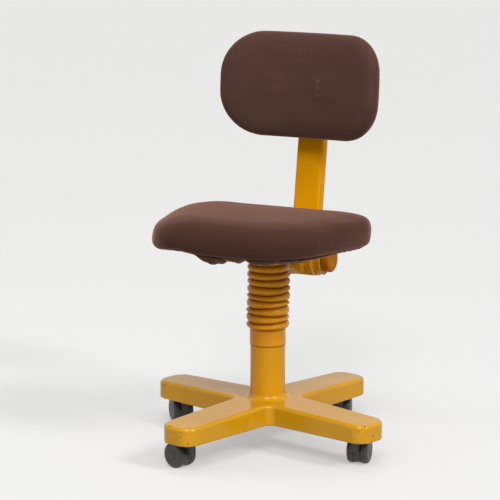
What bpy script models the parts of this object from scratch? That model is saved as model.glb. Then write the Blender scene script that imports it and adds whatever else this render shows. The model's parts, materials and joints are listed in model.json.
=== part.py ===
"""Swivel chair: four-armed base on twin-wheel casters, bellows column, padded seat and backrest.

Metres, +Z up. The chair's front faces -Y. The origin is on the floor, on the column's axis.
"""

import math

import bmesh
import bpy
from mathutils import Matrix, Vector

# Clearances
GAP = 0.0003
RUN = 0.0005

# Casters
WHEEL_R = 0.0245
WHEEL_WIDTH = 0.013
WHEEL_EDGE = 0.006
WHEEL_STEPS = 24
WEB = 0.013
TRAIL = 0.0265
AXLE_R = 0.003
AXLE_COVER = 0.005
FENDER_GAP = 0.0012
FENDER_WALL = 0.0021
FENDER_SWEEP = math.radians(42)
HUB_BOSS_R = 0.0085
STEM_R = 0.0045
STEM_SINK = 0.018
SOCKET_WALL = 0.0028
SOCKET_LENGTH = 0.021
SOCKET_FLANGE_R = 0.0105
SOCKET_FLANGE = 0.002

# Base
ARM_COUNT = 4
ARM_TURN = math.radians(-15.6)
ARM_REACH = 0.2605
CASTER_INSET = 0.0455
ARM_ROOT = 0.060
ARM_ROOT_HALF = 0.0427
ARM_TIP_HALF = 0.0372
TIP_RADIUS = 0.029
CROTCH_RADIUS = 0.015
HUB_THICKNESS = 0.0397
TIP_THICKNESS = 0.0342
BASE_WALL = 0.006
BASE_EDGE = 0.007
BASE_LOWER_EDGE = 0.35
POCKET_GAP = 0.033
FOOT_FILLET = 0.011
FOOT_LIP = 0.0012
CASTER_TURNS = {
    "front_right": math.radians(99),
    "rear_right": math.radians(108),
    "rear_left": math.radians(133),
    "front_left": math.radians(161),
}

# Column
TUBE_R = 0.0328
TUBE_WALL = 0.003
TUBE_BARE = 0.1018
TUBE_HIDDEN = 0.065
BUSH_DEPTH = 0.057
BUSH_FLANGE = 0.0022
LIFT_R = 0.025
LIFT_TAIL = 0.128
LIFT_BORE = 0.012
LIFT_END = 0.010
ROD_R = 0.005
ROD_TOP = 0.300
PISTON = 0.010
ROD_FLANGE_R = 0.010
ROD_FLANGE = 0.003
NUT_R = 0.009
NUT_HEIGHT = 0.0048
NUT_RECESS_R = 0.013
SPIGOT_R = 0.014
SPIGOT_HEIGHT = 0.0115
PIN_R = 0.004
PIN_DEPTH = 0.020
PIN_PROUD = 0.003

# Bellows
CUFF_HEIGHT = 0.0325
TOP_CUFF_HEIGHT = 0.0055
CUFF_WALL = 0.0006
RIB_COUNT = 10
RIB_PITCH = 0.0136
RIB_DEPTH = 0.0070
RIB_CREST = 0.36
BELLOWS_STEPS = 28
COLLAR_HEIGHT = 0.010

# Seat bracket, hub and lever
WASHER = 0.0022
SWIVEL_BUSH_WALL = 0.0027
HUB_WALL = 0.007
BRACKET_HALF_WIDTH = 0.040
BRACKET_FRONT = 0.075
BRACKET_REAR = 0.0585
BRACKET_HEIGHT = 0.0225
BRACKET_WALL = 0.003
BRACKET_CORNER = 0.008
SEAT_TILT = math.radians(2.9)
LEVER_R = 0.0035
LEVER_REACH = 0.104
LEVER_DROP = 0.020
GRIP_R = 0.0065
GRIP_LENGTH = 0.034
BOLT_R = 0.003
BOLT_HEAD_R = 0.0058
BOLT_HEAD = 0.004
BOLT_SINK = 0.007

# Seat
SEAT_REAR = 0.088
SEAT_FRONT = 0.227
SEAT_REAR_HALF = 0.191
SEAT_FRONT_HALF = 0.157
SEAT_REAR_RADIUS = 0.064
SEAT_FRONT_RADIUS = 0.084
PAN_THICKNESS = 0.010
PAN_INSET = 0.016
CUSHION_SIDE = 0.021
CUSHION_SHOULDER = 0.032
CUSHION_ROUND = 0.024
CUSHION_CROWN = 0.006
CUSHION_DRAW = 0.002
SEAT_POINTS = 44
HEM_WIDTH = 0.034
HEM_REAR_SHARE = 0.25
HEM_DEPTH = 0.003
HEM_FOLD = 0.003
HEM_FOLDS = 22
HEM_SAG = 0.016
HEM_SAG_HALF = 0.105
HEM_SAG_X = 0.030
HEM_POINTS = 88

# Back support
HINGE_Y = 0.165
HINGE_Z = 0.332
BACK_LEAN = math.radians(9.0)
ARM_SLOPE = math.radians(10.0)
BAR_HALF_TOP = 0.009
BAR_HALF_BOTTOM = 0.017
BAR_SIDE = 0.016
BAR_CHAMFER = 0.009
BAR_UNDER = 0.0298
BAR_START = 0.0475
TONGUE_HALF = 0.015
TONGUE_DEPTH = 0.0108
UPRIGHT_WIDTH = 0.053
UPRIGHT_DEPTH = 0.026
UPRIGHT_WALL = 0.0025
UPRIGHT_CORNER = 0.004
UPRIGHT_ABOVE = 0.380
UPRIGHT_BELOW = 0.024
CAP_HEIGHT = 0.004
CAP_PLUG = 0.012
CHEEK = 0.0035
YOKE_TOP = 0.015
YOKE_REAR = 0.014
YOKE_FRONT = 0.042
YOKE_SLANT = 0.020
YOKE_CLEAR = 0.019
YOKE_DROP = 0.0028
YOKE_BOSS_R = 0.0305
TILT_AXLE_R = 0.005
KNOB_R = 0.0245
KNOB_RIM = 0.015
KNOB_HUB_R = 0.011
KNOB_STANDOFF = 0.014
KNOB_GAP = 0.0015
KNOB_EDGE = 0.004

# Backrest
CARRIER_RISE = 0.330
CARRIER_HEIGHT = 0.056
CARRIER_WALL = 0.003
EAR_THICKNESS = 0.004
LUG_HALF = 0.011
PIVOT_R = 0.003
PIVOT_OFFSET = 0.0068
LUG_R = 0.006
SCREW_BOSS_R = 0.009
SCREW_BOSS = 0.006
SCREW_R = 0.004
SCREW_KNOB_R = 0.017
SCREW_KNOB = 0.011
BACK_PLATE_HALF = 0.030
BACK_PLATE = 0.003
BACK_TILT = math.radians(4.5)
BACK_HALF_WIDTH = 0.162
BACK_HALF_HEIGHT = 0.100
BACK_RADIUS = 0.076
BACK_THICKNESS = 0.040
BACK_CROWN = 0.004
BACK_BEND_RADIUS = 0.500
BACK_ROUND = 0.017
BACK_SHELL = 0.005
BACK_SHELL_INSET = 0.020
BACK_POINTS = 44
BACK_STRIPS = 16

# Sizes that follow from those above
CASTER_REACH = ARM_REACH - CASTER_INSET
POCKET_END = CASTER_REACH - POCKET_GAP
HOOD_TOP = 2 * WHEEL_R + FENDER_GAP + FENDER_WALL
BASE_UNDER = HOOD_TOP + SOCKET_FLANGE + 2 * GAP
HUB_TOP = BASE_UNDER + HUB_THICKNESS
TIP_TOP = BASE_UNDER + TIP_THICKNESS
NUT_SEAT = BASE_UNDER + RUN + NUT_HEIGHT + GAP
HUB_FLOOR = NUT_SEAT + BASE_WALL
CUFF_FOOT = HUB_TOP + TUBE_BARE
TUBE_TOP = CUFF_FOOT + TUBE_HIDDEN
RIBS_FOOT = CUFF_FOOT + CUFF_HEIGHT
RIBS_TOP = RIBS_FOOT + RIB_COUNT * RIB_PITCH
LIFT_TOP = RIBS_TOP + TOP_CUFF_HEIGHT
WASHER_TOP = LIFT_TOP + GAP + WASHER
SPIGOT_TOP = LIFT_TOP + SPIGOT_HEIGHT
PIN_TOP = SPIGOT_TOP + PIN_PROUD
LEVER_Z = PIN_TOP + GAP + LEVER_R
HUB_FOOT = WASHER_TOP + GAP
HUB_RIM = LEVER_Z + LEVER_R + RUN
HUB_OUTER_R = SPIGOT_R + RUN + SWIVEL_BUSH_WALL + GAP + HUB_WALL
BRACKET_CEILING = HUB_RIM + GAP + HUB_OUTER_R * math.tan(SEAT_TILT)
SEAT_Z = BRACKET_CEILING + BRACKET_WALL / math.cos(SEAT_TILT)

# Colours: red, green, blue, roughness, metallic
MUSTARD = (0.62, 0.33, 0.035, 0.35, 0.0)
OCHRE_RUBBER = (0.50, 0.23, 0.04, 0.55, 0.0)
CHARCOAL = (0.025, 0.026, 0.030, 0.45, 0.0)
BROWN_CLOTH = (0.060, 0.028, 0.024, 0.9, 0.0)
STEEL = (0.55, 0.55, 0.56, 0.3, 1.0)
NYLON = (0.72, 0.70, 0.64, 0.5, 0.0)
PLYWOOD = (0.42, 0.26, 0.13, 0.6, 0.0)
DARK_SHELL = (0.035, 0.026, 0.022, 0.5, 0.0)


def clear_scene():
    for obj in list(bpy.data.objects):
        bpy.data.objects.remove(obj, do_unlink=True)


def new_collection(name):
    collection = bpy.data.collections.new(name)
    bpy.context.scene.collection.children.link(collection)
    return collection


clear_scene()
PARTS = new_collection("swivel_chair")
CUTTERS = new_collection("cutters")


def empty(name, location, rotation=(0.0, 0.0, 0.0), parent=None):
    """A frame that carries pieces, on the joint's axis where they move."""
    frame = bpy.data.objects.new(name, None)
    frame.location = location
    frame.rotation_euler = rotation
    frame.parent = parent
    PARTS.objects.link(frame)
    return frame


def finish(obj, colour, smooth_angle=35):
    """Gives a piece its own material and shades it smooth up to an angle."""
    red, green, blue, roughness, metallic = colour
    material = bpy.data.materials.new(obj.name)
    material.use_nodes = True
    shader = material.node_tree.nodes["Principled BSDF"]
    shader.inputs["Base Color"].default_value = (red, green, blue, 1.0)
    shader.inputs["Roughness"].default_value = roughness
    shader.inputs["Metallic"].default_value = metallic
    obj.data.materials.clear()
    obj.data.materials.append(material)
    obj.data.shade_smooth()
    obj.data.set_sharp_from_angle(angle=math.radians(smooth_angle))
    return obj


def place(name, mesh, parent=None, location=(0.0, 0.0, 0.0), rotation=(0.0, 0.0, 0.0)):
    obj = bpy.data.objects.new(name, mesh)
    obj.location = location
    obj.rotation_euler = rotation
    obj.parent = parent
    PARTS.objects.link(obj)
    return obj


def as_cutter(obj):
    PARTS.objects.unlink(obj)
    CUTTERS.objects.link(obj)
    obj.hide_render = True
    obj.display_type = "WIRE"
    return obj


def boolean(obj, tool, operation):
    modifier = obj.modifiers.new(operation.lower(), "BOOLEAN")
    modifier.operation = operation
    modifier.solver = "EXACT"
    modifier.object = as_cutter(tool)
    return obj


def cut(obj, tool):
    return boolean(obj, tool, "DIFFERENCE")


def join(obj, tool):
    return boolean(obj, tool, "UNION")


def baked(obj):
    """The evaluated mesh of a finished piece, for its copies. The piece itself is removed."""
    bpy.context.view_layer.update()
    graph = bpy.context.evaluated_depsgraph_get()
    mesh = bpy.data.meshes.new_from_object(obj.evaluated_get(graph))
    mesh.name = obj.name
    bpy.data.objects.remove(obj, do_unlink=True)
    return mesh


def mesh_from(name, form):
    mesh = bpy.data.meshes.new(name)
    form.to_mesh(mesh)
    form.free()
    return mesh


def box_mesh(name, low, high):
    form = bmesh.new()
    bmesh.ops.create_cube(form, size=1.0)
    low, high = Vector(low), Vector(high)
    bmesh.ops.scale(form, vec=high - low, verts=form.verts)
    bmesh.ops.translate(form, vec=(low + high) / 2, verts=form.verts)
    return mesh_from(name, form)


def rod_mesh(name, radius, low, high, segments=24, axis="Z"):
    """A cylinder between two places along an axis through the local origin."""
    form = bmesh.new()
    bmesh.ops.create_cone(
        form, cap_ends=True, segments=segments, radius1=radius, radius2=radius, depth=high - low
    )
    bmesh.ops.translate(form, vec=(0, 0, (low + high) / 2), verts=form.verts)
    turn = {
        "X": Matrix.Rotation(math.pi / 2, 3, "Y"),
        "Y": Matrix.Rotation(-math.pi / 2, 3, "X"),
        "Z": Matrix.Identity(3),
    }[axis]
    bmesh.ops.rotate(form, cent=(0, 0, 0), matrix=turn, verts=form.verts)
    return mesh_from(name, form)


def turned(name, profile, steps, parent=None, location=(0, 0, 0), rotation=(0, 0, 0)):
    """A solid of revolution about Z. The profile is radius and height, down the outer side.

    A profile that starts and ends on the axis is a solid, and any other is closed into a ring.
    """
    form = bmesh.new()
    points = [form.verts.new((radius, 0.0, height)) for radius, height in profile]
    for first, second in zip(points, points[1:]):
        form.edges.new((first, second))
    if profile[0][0] > 0 or profile[-1][0] > 0:
        form.edges.new((points[-1], points[0]))
    obj = place(name, mesh_from(name, form), parent, location, rotation)
    screw = obj.modifiers.new("turn", "SCREW")
    screw.axis = "Z"
    screw.steps = steps
    screw.render_steps = steps
    screw.use_merge_vertices = True
    screw.merge_threshold = 0.00001
    return obj


def prism(name, outline, thickness):
    """A flat outline with a thickness, centred on its own XY plane."""
    curve = bpy.data.curves.new(name, "CURVE")
    curve.dimensions = "2D"
    curve.fill_mode = "BOTH"
    curve.extrude = thickness / 2
    spline = curve.splines.new("POLY")
    spline.points.add(len(outline) - 1)
    for point, (across, along) in zip(spline.points, outline):
        point.co = (across, along, 0.0, 1.0)
    spline.use_cyclic_u = True
    mesh = baked(place(name, curve))
    form = bmesh.new()
    form.from_mesh(mesh)
    bmesh.ops.remove_doubles(form, verts=form.verts, dist=0.000001)
    bmesh.ops.dissolve_limit(form, angle_limit=0.001, verts=form.verts, edges=form.edges)
    bmesh.ops.recalc_face_normals(form, faces=form.faces)
    form.to_mesh(mesh)
    form.free()
    return mesh


def moved(mesh, location=(0, 0, 0), rotation=None):
    """Moves a mesh inside its object, so that its origin stays on the joint's axis."""
    matrix = Matrix.Translation(location)
    if rotation:
        matrix = matrix @ Matrix.Rotation(rotation[0], 4, rotation[1])
    mesh.transform(matrix)
    return mesh


def on_side(mesh):
    """Stands an outline drawn as (Y, Z) up in the YZ plane, with its thickness along X."""
    return moved(moved(mesh, rotation=(math.pi / 2, "X")), rotation=(math.pi / 2, "Z"))


def loft(name, rings, first_centre=None, last_centre=None):
    """Skins closed rings of equal count. An end closes on a centre point, or else as a flat face."""
    form = bmesh.new()
    loops = [[form.verts.new(point) for point in ring] for ring in rings]
    count = len(loops[0])
    for lower, upper in zip(loops, loops[1:]):
        for i in range(count):
            j = (i + 1) % count
            form.faces.new((lower[i], lower[j], upper[j], upper[i]))
    for loop, centre in ((loops[0][::-1], first_centre), (loops[-1], last_centre)):
        if centre is None:
            form.faces.new(loop)
            continue
        tip = form.verts.new(centre)
        for i in range(count):
            form.faces.new((loop[i], loop[(i + 1) % count], tip))
    bmesh.ops.recalc_face_normals(form, faces=form.faces)
    return mesh_from(name, form)


def looped_loft(name, sections):
    """Skins closed sections that follow each other round a ring."""
    form = bmesh.new()
    loops = [[form.verts.new(point) for point in section] for section in sections]
    count = len(loops[0])
    for here, there in zip(loops, loops[1:] + loops[:1]):
        for i in range(count):
            j = (i + 1) % count
            form.faces.new((here[i], here[j], there[j], there[i]))
    bmesh.ops.recalc_face_normals(form, faces=form.faces)
    return mesh_from(name, form)


def arc(centre, radius, start, end, steps):
    """Points along an arc, ends included, with angles in radians."""
    points = []
    for i in range(steps + 1):
        angle = start + (end - start) * i / steps
        points.append((centre[0] + radius * math.cos(angle), centre[1] + radius * math.sin(angle)))
    return points


def rounded_rectangle(half_width, half_height, radius, steps):
    points = []
    for turn, (side, end) in enumerate(((1, 1), (-1, 1), (-1, -1), (1, -1))):
        centre = (side * (half_width - radius), end * (half_height - radius))
        start = turn * math.pi / 2
        points += arc(centre, radius, start, start + math.pi / 2, steps)
    return points


def rounded_outline(corners, inset, count):
    """Evenly spaced points round the tight loop over corner circles (x, y, radius), moved inwards."""
    samples = 360
    loop = []
    for i in range(samples):
        angle = 2 * math.pi * i / samples
        way = Vector((math.cos(angle), math.sin(angle)))
        x, y, radius = max(corners, key=lambda c: c[0] * way.x + c[1] * way.y + c[2])
        loop.append(Vector((x, y)) + way * (radius - inset))
    lengths = [(loop[(i + 1) % samples] - loop[i]).length for i in range(samples)]
    total = sum(lengths)
    points = []
    walked = 0.0
    i = 0
    for k in range(count):
        target = total * k / count
        while walked + lengths[i] < target:
            walked += lengths[i]
            i += 1
        share = (target - walked) / lengths[i]
        points.append(loop[i].lerp(loop[(i + 1) % samples], share))
    return points


def wheel_profile():
    """A wheel from its outer face inwards, with a blind bore for the axle."""
    bore = AXLE_R + GAP
    edge = WHEEL_EDGE
    width = WHEEL_WIDTH
    return [
        (0.0, width),
        (WHEEL_R - 2 * edge, width - 0.1 * edge),
        (WHEEL_R - 0.9 * edge, width - 0.25 * edge),
        (WHEEL_R - 0.25 * edge, width - 0.6 * edge),
        (WHEEL_R, width - edge),
        (WHEEL_R, 0.25 * edge),
        (WHEEL_R - 0.25 * edge, 0.0),
        (bore, 0.0),
        (bore, width - AXLE_COVER + GAP),
        (0.0, width - AXLE_COVER + GAP),
    ]


def hood_mesh():
    """The caster's body: a web between the wheels, a boss for the stem and a fender over the wheels."""
    axle = (TRAIL, WHEEL_R)
    boss_front = -HUB_BOSS_R
    boss_foot = HOOD_TOP - STEM_SINK - BASE_WALL
    outline = [
        (boss_front, boss_foot),
        (boss_front, HOOD_TOP - FENDER_GAP),
        (boss_front + FENDER_GAP, HOOD_TOP),
    ]
    outline += arc(axle, WHEEL_R - FENDER_GAP, math.radians(80), math.radians(-190), 16)
    web = place("hood", moved(prism("hood", outline[::-1], WEB), rotation=(math.pi / 2, "X")))

    inner = WHEEL_R + FENDER_GAP
    outer = inner + FENDER_WALL
    top = math.pi / 2
    band = arc(axle, outer, top - FENDER_SWEEP, top + FENDER_SWEEP, 6)
    band += arc(axle, inner, top + FENDER_SWEEP, top - FENDER_SWEEP, 6)
    width = WEB + 2 * (RUN + WHEEL_WIDTH)
    fender = place("hood_fender", moved(prism("hood_fender", band, width), rotation=(math.pi / 2, "X")))
    join(web, fender)

    reach = max(0.0, WHEEL_R**2 - max(0.0, TRAIL - HUB_BOSS_R) ** 2)
    boss_low = WHEEL_R + math.sqrt(reach) + FENDER_GAP
    join(web, place("hood_boss", rod_mesh("hood_boss", HUB_BOSS_R, boss_low, HOOD_TOP, 16)))
    bore_low = HOOD_TOP - STEM_SINK
    cut(web, place("stem_bore", rod_mesh("stem_bore", STEM_R + GAP, bore_low, HOOD_TOP + RUN, 16)))
    axle_bore = moved(rod_mesh("axle_bore", AXLE_R + GAP, -WEB, WEB, 16, "Y"), (TRAIL, 0, WHEEL_R))
    cut(web, place("axle_bore", axle_bore))
    return baked(web)


def build_casters():
    socket_r = STEM_R + GAP + SOCKET_WALL
    flange_low = HOOD_TOP + GAP
    flange_top = flange_low + SOCKET_FLANGE
    stem_low = HOOD_TOP - STEM_SINK + GAP
    stem_top = HOOD_TOP + SOCKET_LENGTH - RUN
    groove = STEM_R - 0.2 * STEM_R
    wheel_mesh = baked(turned("wheel", wheel_profile(), WHEEL_STEPS))
    stem_profile = [
        (0.0, stem_top),
        (groove, stem_top),
        (STEM_R, stem_top - 0.5 * STEM_R),
        (STEM_R, stem_top - STEM_R),
        (groove, stem_top - 1.1 * STEM_R),
        (groove, stem_top - 1.5 * STEM_R),
        (STEM_R, stem_top - 1.6 * STEM_R),
        (STEM_R, stem_low),
        (0.0, stem_low),
    ]
    stem_mesh = baked(turned("stem", stem_profile, 12))
    socket_profile = [
        (socket_r, flange_low + SOCKET_LENGTH),
        (socket_r, flange_top),
        (SOCKET_FLANGE_R, flange_top),
        (SOCKET_FLANGE_R, flange_low),
        (STEM_R + GAP, flange_low),
        (STEM_R + GAP, flange_low + SOCKET_LENGTH),
    ]
    socket_mesh = baked(turned("socket", socket_profile, 14))
    axle_half = WEB / 2 + RUN + WHEEL_WIDTH - AXLE_COVER
    axle_mesh = rod_mesh("axle", AXLE_R, -axle_half, axle_half, 14, "Y")
    hood = hood_mesh()
    for k, (corner, turn) in enumerate(CASTER_TURNS.items()):
        angle = ARM_TURN + k * 2 * math.pi / ARM_COUNT
        spot = (CASTER_REACH * math.cos(angle), CASTER_REACH * math.sin(angle), 0.0)
        swivel = empty(f"swivel_{corner}", spot, (0.0, 0.0, turn))
        finish(place(f"caster_socket_{corner}", socket_mesh, None, spot), NYLON)
        finish(place(f"caster_stem_{corner}", stem_mesh, swivel), STEEL)
        finish(place(f"caster_hood_{corner}", hood, swivel), CHARCOAL)
        axle = (TRAIL, 0.0, WHEEL_R)
        finish(place(f"caster_axle_{corner}", axle_mesh, swivel, axle), STEEL)
        for side, name in ((1, "left"), (-1, "right")):
            seat = (TRAIL, side * (WEB / 2 + RUN), WHEEL_R)
            facing = (-side * math.pi / 2, 0.0, 0.0)
            finish(place(f"caster_wheel_{corner}_{name}", wheel_mesh, swivel, seat, facing), CHARCOAL)


def arm_half(along):
    """Half the arm's width at a distance from the column's axis."""
    share = (along - ARM_ROOT) / (ARM_REACH - ARM_ROOT)
    return ARM_ROOT_HALF + (ARM_TIP_HALF - ARM_ROOT_HALF) * share


def base_outline():
    taper = math.atan((ARM_ROOT_HALF - ARM_TIP_HALF) / (ARM_REACH - ARM_ROOT))
    tip_x = ARM_REACH - TIP_RADIUS
    tip_y = arm_half(tip_x) - TIP_RADIUS / math.cos(taper)
    crotch = math.sqrt(2) * (arm_half(0.0) + CROTCH_RADIUS / math.cos(taper)) / (1 + math.tan(taper))
    centre = (crotch / math.sqrt(2), crotch / math.sqrt(2))
    quarter = arc((tip_x, -tip_y), TIP_RADIUS, taper - math.pi / 2, 0.0, 5)
    quarter += arc((tip_x, tip_y), TIP_RADIUS, 0.0, math.pi / 2 - taper, 5)
    quarter += arc(centre, CROTCH_RADIUS, 1.5 * math.pi - taper, math.pi + taper, 5)
    outline = []
    for k in range(ARM_COUNT):
        turn = Matrix.Rotation(ARM_TURN + k * 2 * math.pi / ARM_COUNT, 2)
        outline += [turn @ Vector(point) for point in quarter]
    return outline


def base_mesh():
    """The four arms, flat at the hub and sloping down to the tips, with marks for the rounded edges."""
    mesh = prism("base", base_outline(), HUB_THICKNESS)
    moved(mesh, (0, 0, BASE_UNDER + HUB_THICKNESS / 2))
    form = bmesh.new()
    form.from_mesh(mesh)
    fall = (HUB_TOP - TIP_TOP) / (ARM_REACH - ARM_ROOT)
    for k in range(ARM_COUNT):
        angle = ARM_TURN + k * 2 * math.pi / ARM_COUNT
        way = Vector((math.cos(angle), math.sin(angle), 0.0))
        everything = form.verts[:] + form.edges[:] + form.faces[:]
        bmesh.ops.bisect_plane(form, geom=everything, plane_co=way * ARM_ROOT, plane_no=way)
        for vert in form.verts:
            beyond = vert.co.dot(way) - ARM_ROOT
            if beyond > 0 and vert.co.z > HUB_TOP - GAP:
                vert.co.z -= fall * beyond
    weights = form.edges.layers.float.new("bevel_weight_edge")
    middle = (BASE_UNDER + TIP_TOP) / 2
    for edge in form.edges:
        upright = [abs(face.normal.z) > 0.5 for face in edge.link_faces]
        if upright.count(True) == 1:
            high = edge.verts[0].co.z > middle
            edge[weights] = 1.0 if high else BASE_LOWER_EDGE
    form.to_mesh(mesh)
    form.free()
    return mesh


def build_base():
    base = place("base", base_mesh())
    bevel = base.modifiers.new("rounded_edges", "BEVEL")
    bevel.width = BASE_EDGE
    bevel.segments = 3
    bevel.limit_method = "WEIGHT"

    lip_r = TUBE_R + GAP + FOOT_LIP
    corner = (lip_r + FOOT_FILLET, HUB_TOP + FOOT_FILLET)
    foot = [(0.0, HUB_TOP + FOOT_FILLET)]
    foot += arc(corner, FOOT_FILLET, math.pi, 1.5 * math.pi, 6)
    foot += [(lip_r + FOOT_FILLET, HUB_TOP - BASE_WALL), (0.0, HUB_TOP - BASE_WALL)]
    join(base, turned("base_foot", foot, 32))

    bore_top = HUB_TOP + 2 * FOOT_FILLET
    cut(base, place("tube_bore", rod_mesh("tube_bore", TUBE_R + GAP, HUB_FLOOR, bore_top, 32)))
    rod_hole = rod_mesh("rod_hole", ROD_R + GAP, BASE_UNDER - BASE_WALL, HUB_FLOOR + BASE_WALL, 16)
    cut(base, place("rod_hole", rod_hole))
    recess = rod_mesh("nut_recess", NUT_RECESS_R, BASE_UNDER - BASE_WALL, NUT_SEAT, 24)
    cut(base, place("nut_recess", recess))
    socket_r = STEM_R + 2 * GAP + SOCKET_WALL
    socket_top = HOOD_TOP + GAP + SOCKET_LENGTH + GAP
    pocket_low = BASE_UNDER - BASE_WALL
    pocket_top = TIP_TOP - BASE_WALL
    pocket_start = ARM_ROOT + BASE_WALL
    start_half = arm_half(pocket_start) - BASE_WALL
    end_half = arm_half(POCKET_END) - BASE_WALL
    trapezoid = [
        (pocket_start, -start_half),
        (POCKET_END, -end_half),
        (POCKET_END, end_half),
        (pocket_start, start_half),
    ]
    for k in range(ARM_COUNT):
        turn = (0.0, 0.0, ARM_TURN + k * 2 * math.pi / ARM_COUNT)
        pocket = prism("pocket", trapezoid, pocket_top - pocket_low)
        moved(pocket, (0, 0, (pocket_top + pocket_low) / 2))
        cut(base, place(f"pocket_{k}", pocket, None, (0, 0, 0), turn))
        hole = moved(rod_mesh("socket_hole", socket_r, pocket_low, socket_top, 16), (CASTER_REACH, 0, 0))
        cut(base, place(f"socket_hole_{k}", hole, None, (0, 0, 0), turn))
    finish(base, MUSTARD, 30)


def bellows_profile():
    """Ribs and cuffs down the outside, and a plain bore up the inside."""
    bore = TUBE_R + GAP
    valley = bore + CUFF_WALL
    crest = valley + RIB_DEPTH
    outer = [(valley, LIFT_TOP), (valley, RIBS_TOP)]
    for k in reversed(range(RIB_COUNT)):
        foot = RIBS_FOOT + k * RIB_PITCH
        half_crest = RIB_CREST * RIB_PITCH / 2
        outer.append((crest, foot + RIB_PITCH / 2 + half_crest))
        outer.append((crest, foot + RIB_PITCH / 2 - half_crest))
        outer.append((valley, foot))
    return outer + [(valley, CUFF_FOOT), (bore, CUFF_FOOT), (bore, LIFT_TOP)]


def build_column():
    tube_low = HUB_FLOOR + GAP
    tube_inner = TUBE_R - TUBE_WALL
    tube_ring = [(TUBE_R, TUBE_TOP), (TUBE_R, tube_low), (tube_inner, tube_low), (tube_inner, TUBE_TOP)]
    finish(turned("column_tube", tube_ring, 32), MUSTARD)

    bush_r = tube_inner - GAP
    flange_low = TUBE_TOP + GAP
    bush = [
        (TUBE_R - RUN, flange_low + BUSH_FLANGE),
        (TUBE_R - RUN, flange_low),
        (bush_r, flange_low),
        (bush_r, TUBE_TOP - BUSH_DEPTH),
        (LIFT_R + GAP, TUBE_TOP - BUSH_DEPTH),
        (LIFT_R + GAP, flange_low + BUSH_FLANGE),
    ]
    finish(turned("guide_bush", bush, 24), NYLON)

    flange = HUB_FLOOR + GAP
    rod_end = BASE_UNDER + RUN
    rod = [
        (0.0, ROD_TOP),
        (LIFT_BORE - RUN, ROD_TOP),
        (LIFT_BORE - RUN, ROD_TOP - PISTON),
        (ROD_R, ROD_TOP - PISTON),
        (ROD_R, flange + ROD_FLANGE),
        (ROD_FLANGE_R, flange + ROD_FLANGE),
        (ROD_FLANGE_R, flange),
        (ROD_R, flange),
        (ROD_R, rod_end),
        (0.0, rod_end),
    ]
    finish(turned("piston_rod", rod, 16), STEEL)
    nut_top = NUT_SEAT - GAP
    hexagon = arc((0.0, 0.0), NUT_R, 0.0, 2 * math.pi, 6)[:-1]
    nut = place("rod_nut", moved(prism("rod_nut", hexagon, NUT_HEIGHT), (0, 0, nut_top - NUT_HEIGHT / 2)))
    thread = rod_mesh("nut_bore", ROD_R + GAP, nut_top - 2 * NUT_HEIGHT, nut_top + NUT_HEIGHT, 16)
    finish(cut(nut, place("nut_bore", thread)), STEEL)

    pin_seat = PIN_TOP - PIN_DEPTH - 2 * PIN_PROUD
    bore_top = pin_seat - LIFT_END
    lift = [
        (PIN_R + GAP, SPIGOT_TOP),
        (SPIGOT_R, SPIGOT_TOP),
        (SPIGOT_R, LIFT_TOP),
        (LIFT_R, LIFT_TOP),
        (LIFT_R, LIFT_TAIL),
        (ROD_R + GAP, LIFT_TAIL),
        (ROD_R + GAP, LIFT_TAIL + LIFT_END),
        (LIFT_BORE, LIFT_TAIL + LIFT_END),
        (LIFT_BORE, bore_top),
        (0.0, bore_top),
    ]
    well = [(0.0, pin_seat), (PIN_R + GAP, pin_seat)]
    finish(turned("lift_cylinder", well + lift, 24), STEEL)
    pin = [(0.0, PIN_TOP), (PIN_R, PIN_TOP), (PIN_R, PIN_TOP - PIN_DEPTH), (0.0, PIN_TOP - PIN_DEPTH)]
    finish(turned("release_pin", pin, 16), STEEL)

    collar_low = LIFT_TOP - COLLAR_HEIGHT
    collar_r = TUBE_R
    collar = [
        (collar_r, LIFT_TOP),
        (collar_r, collar_low),
        (LIFT_R + GAP, collar_low),
        (LIFT_R + GAP, LIFT_TOP),
    ]
    finish(turned("bellows_collar", collar, BELLOWS_STEPS), NYLON)
    finish(turned("bellows", bellows_profile(), BELLOWS_STEPS), OCHRE_RUBBER, 60)
    washer_r = HUB_OUTER_R
    washer = [
        (washer_r, WASHER_TOP),
        (washer_r, LIFT_TOP + GAP),
        (SPIGOT_R + RUN, LIFT_TOP + GAP),
        (SPIGOT_R + RUN, WASHER_TOP),
    ]
    finish(turned("thrust_washer", washer, 24), NYLON)


def bolt_profile(shank):
    """A bolt with its head below and its shank upwards from the origin."""
    return [
        (0.0, shank),
        (BOLT_R, shank),
        (BOLT_R, 0.0),
        (BOLT_HEAD_R, 0.0),
        (BOLT_HEAD_R, -0.7 * BOLT_HEAD),
        (BOLT_HEAD_R - 0.3 * BOLT_HEAD, -BOLT_HEAD),
        (0.0, -BOLT_HEAD),
    ]


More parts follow.
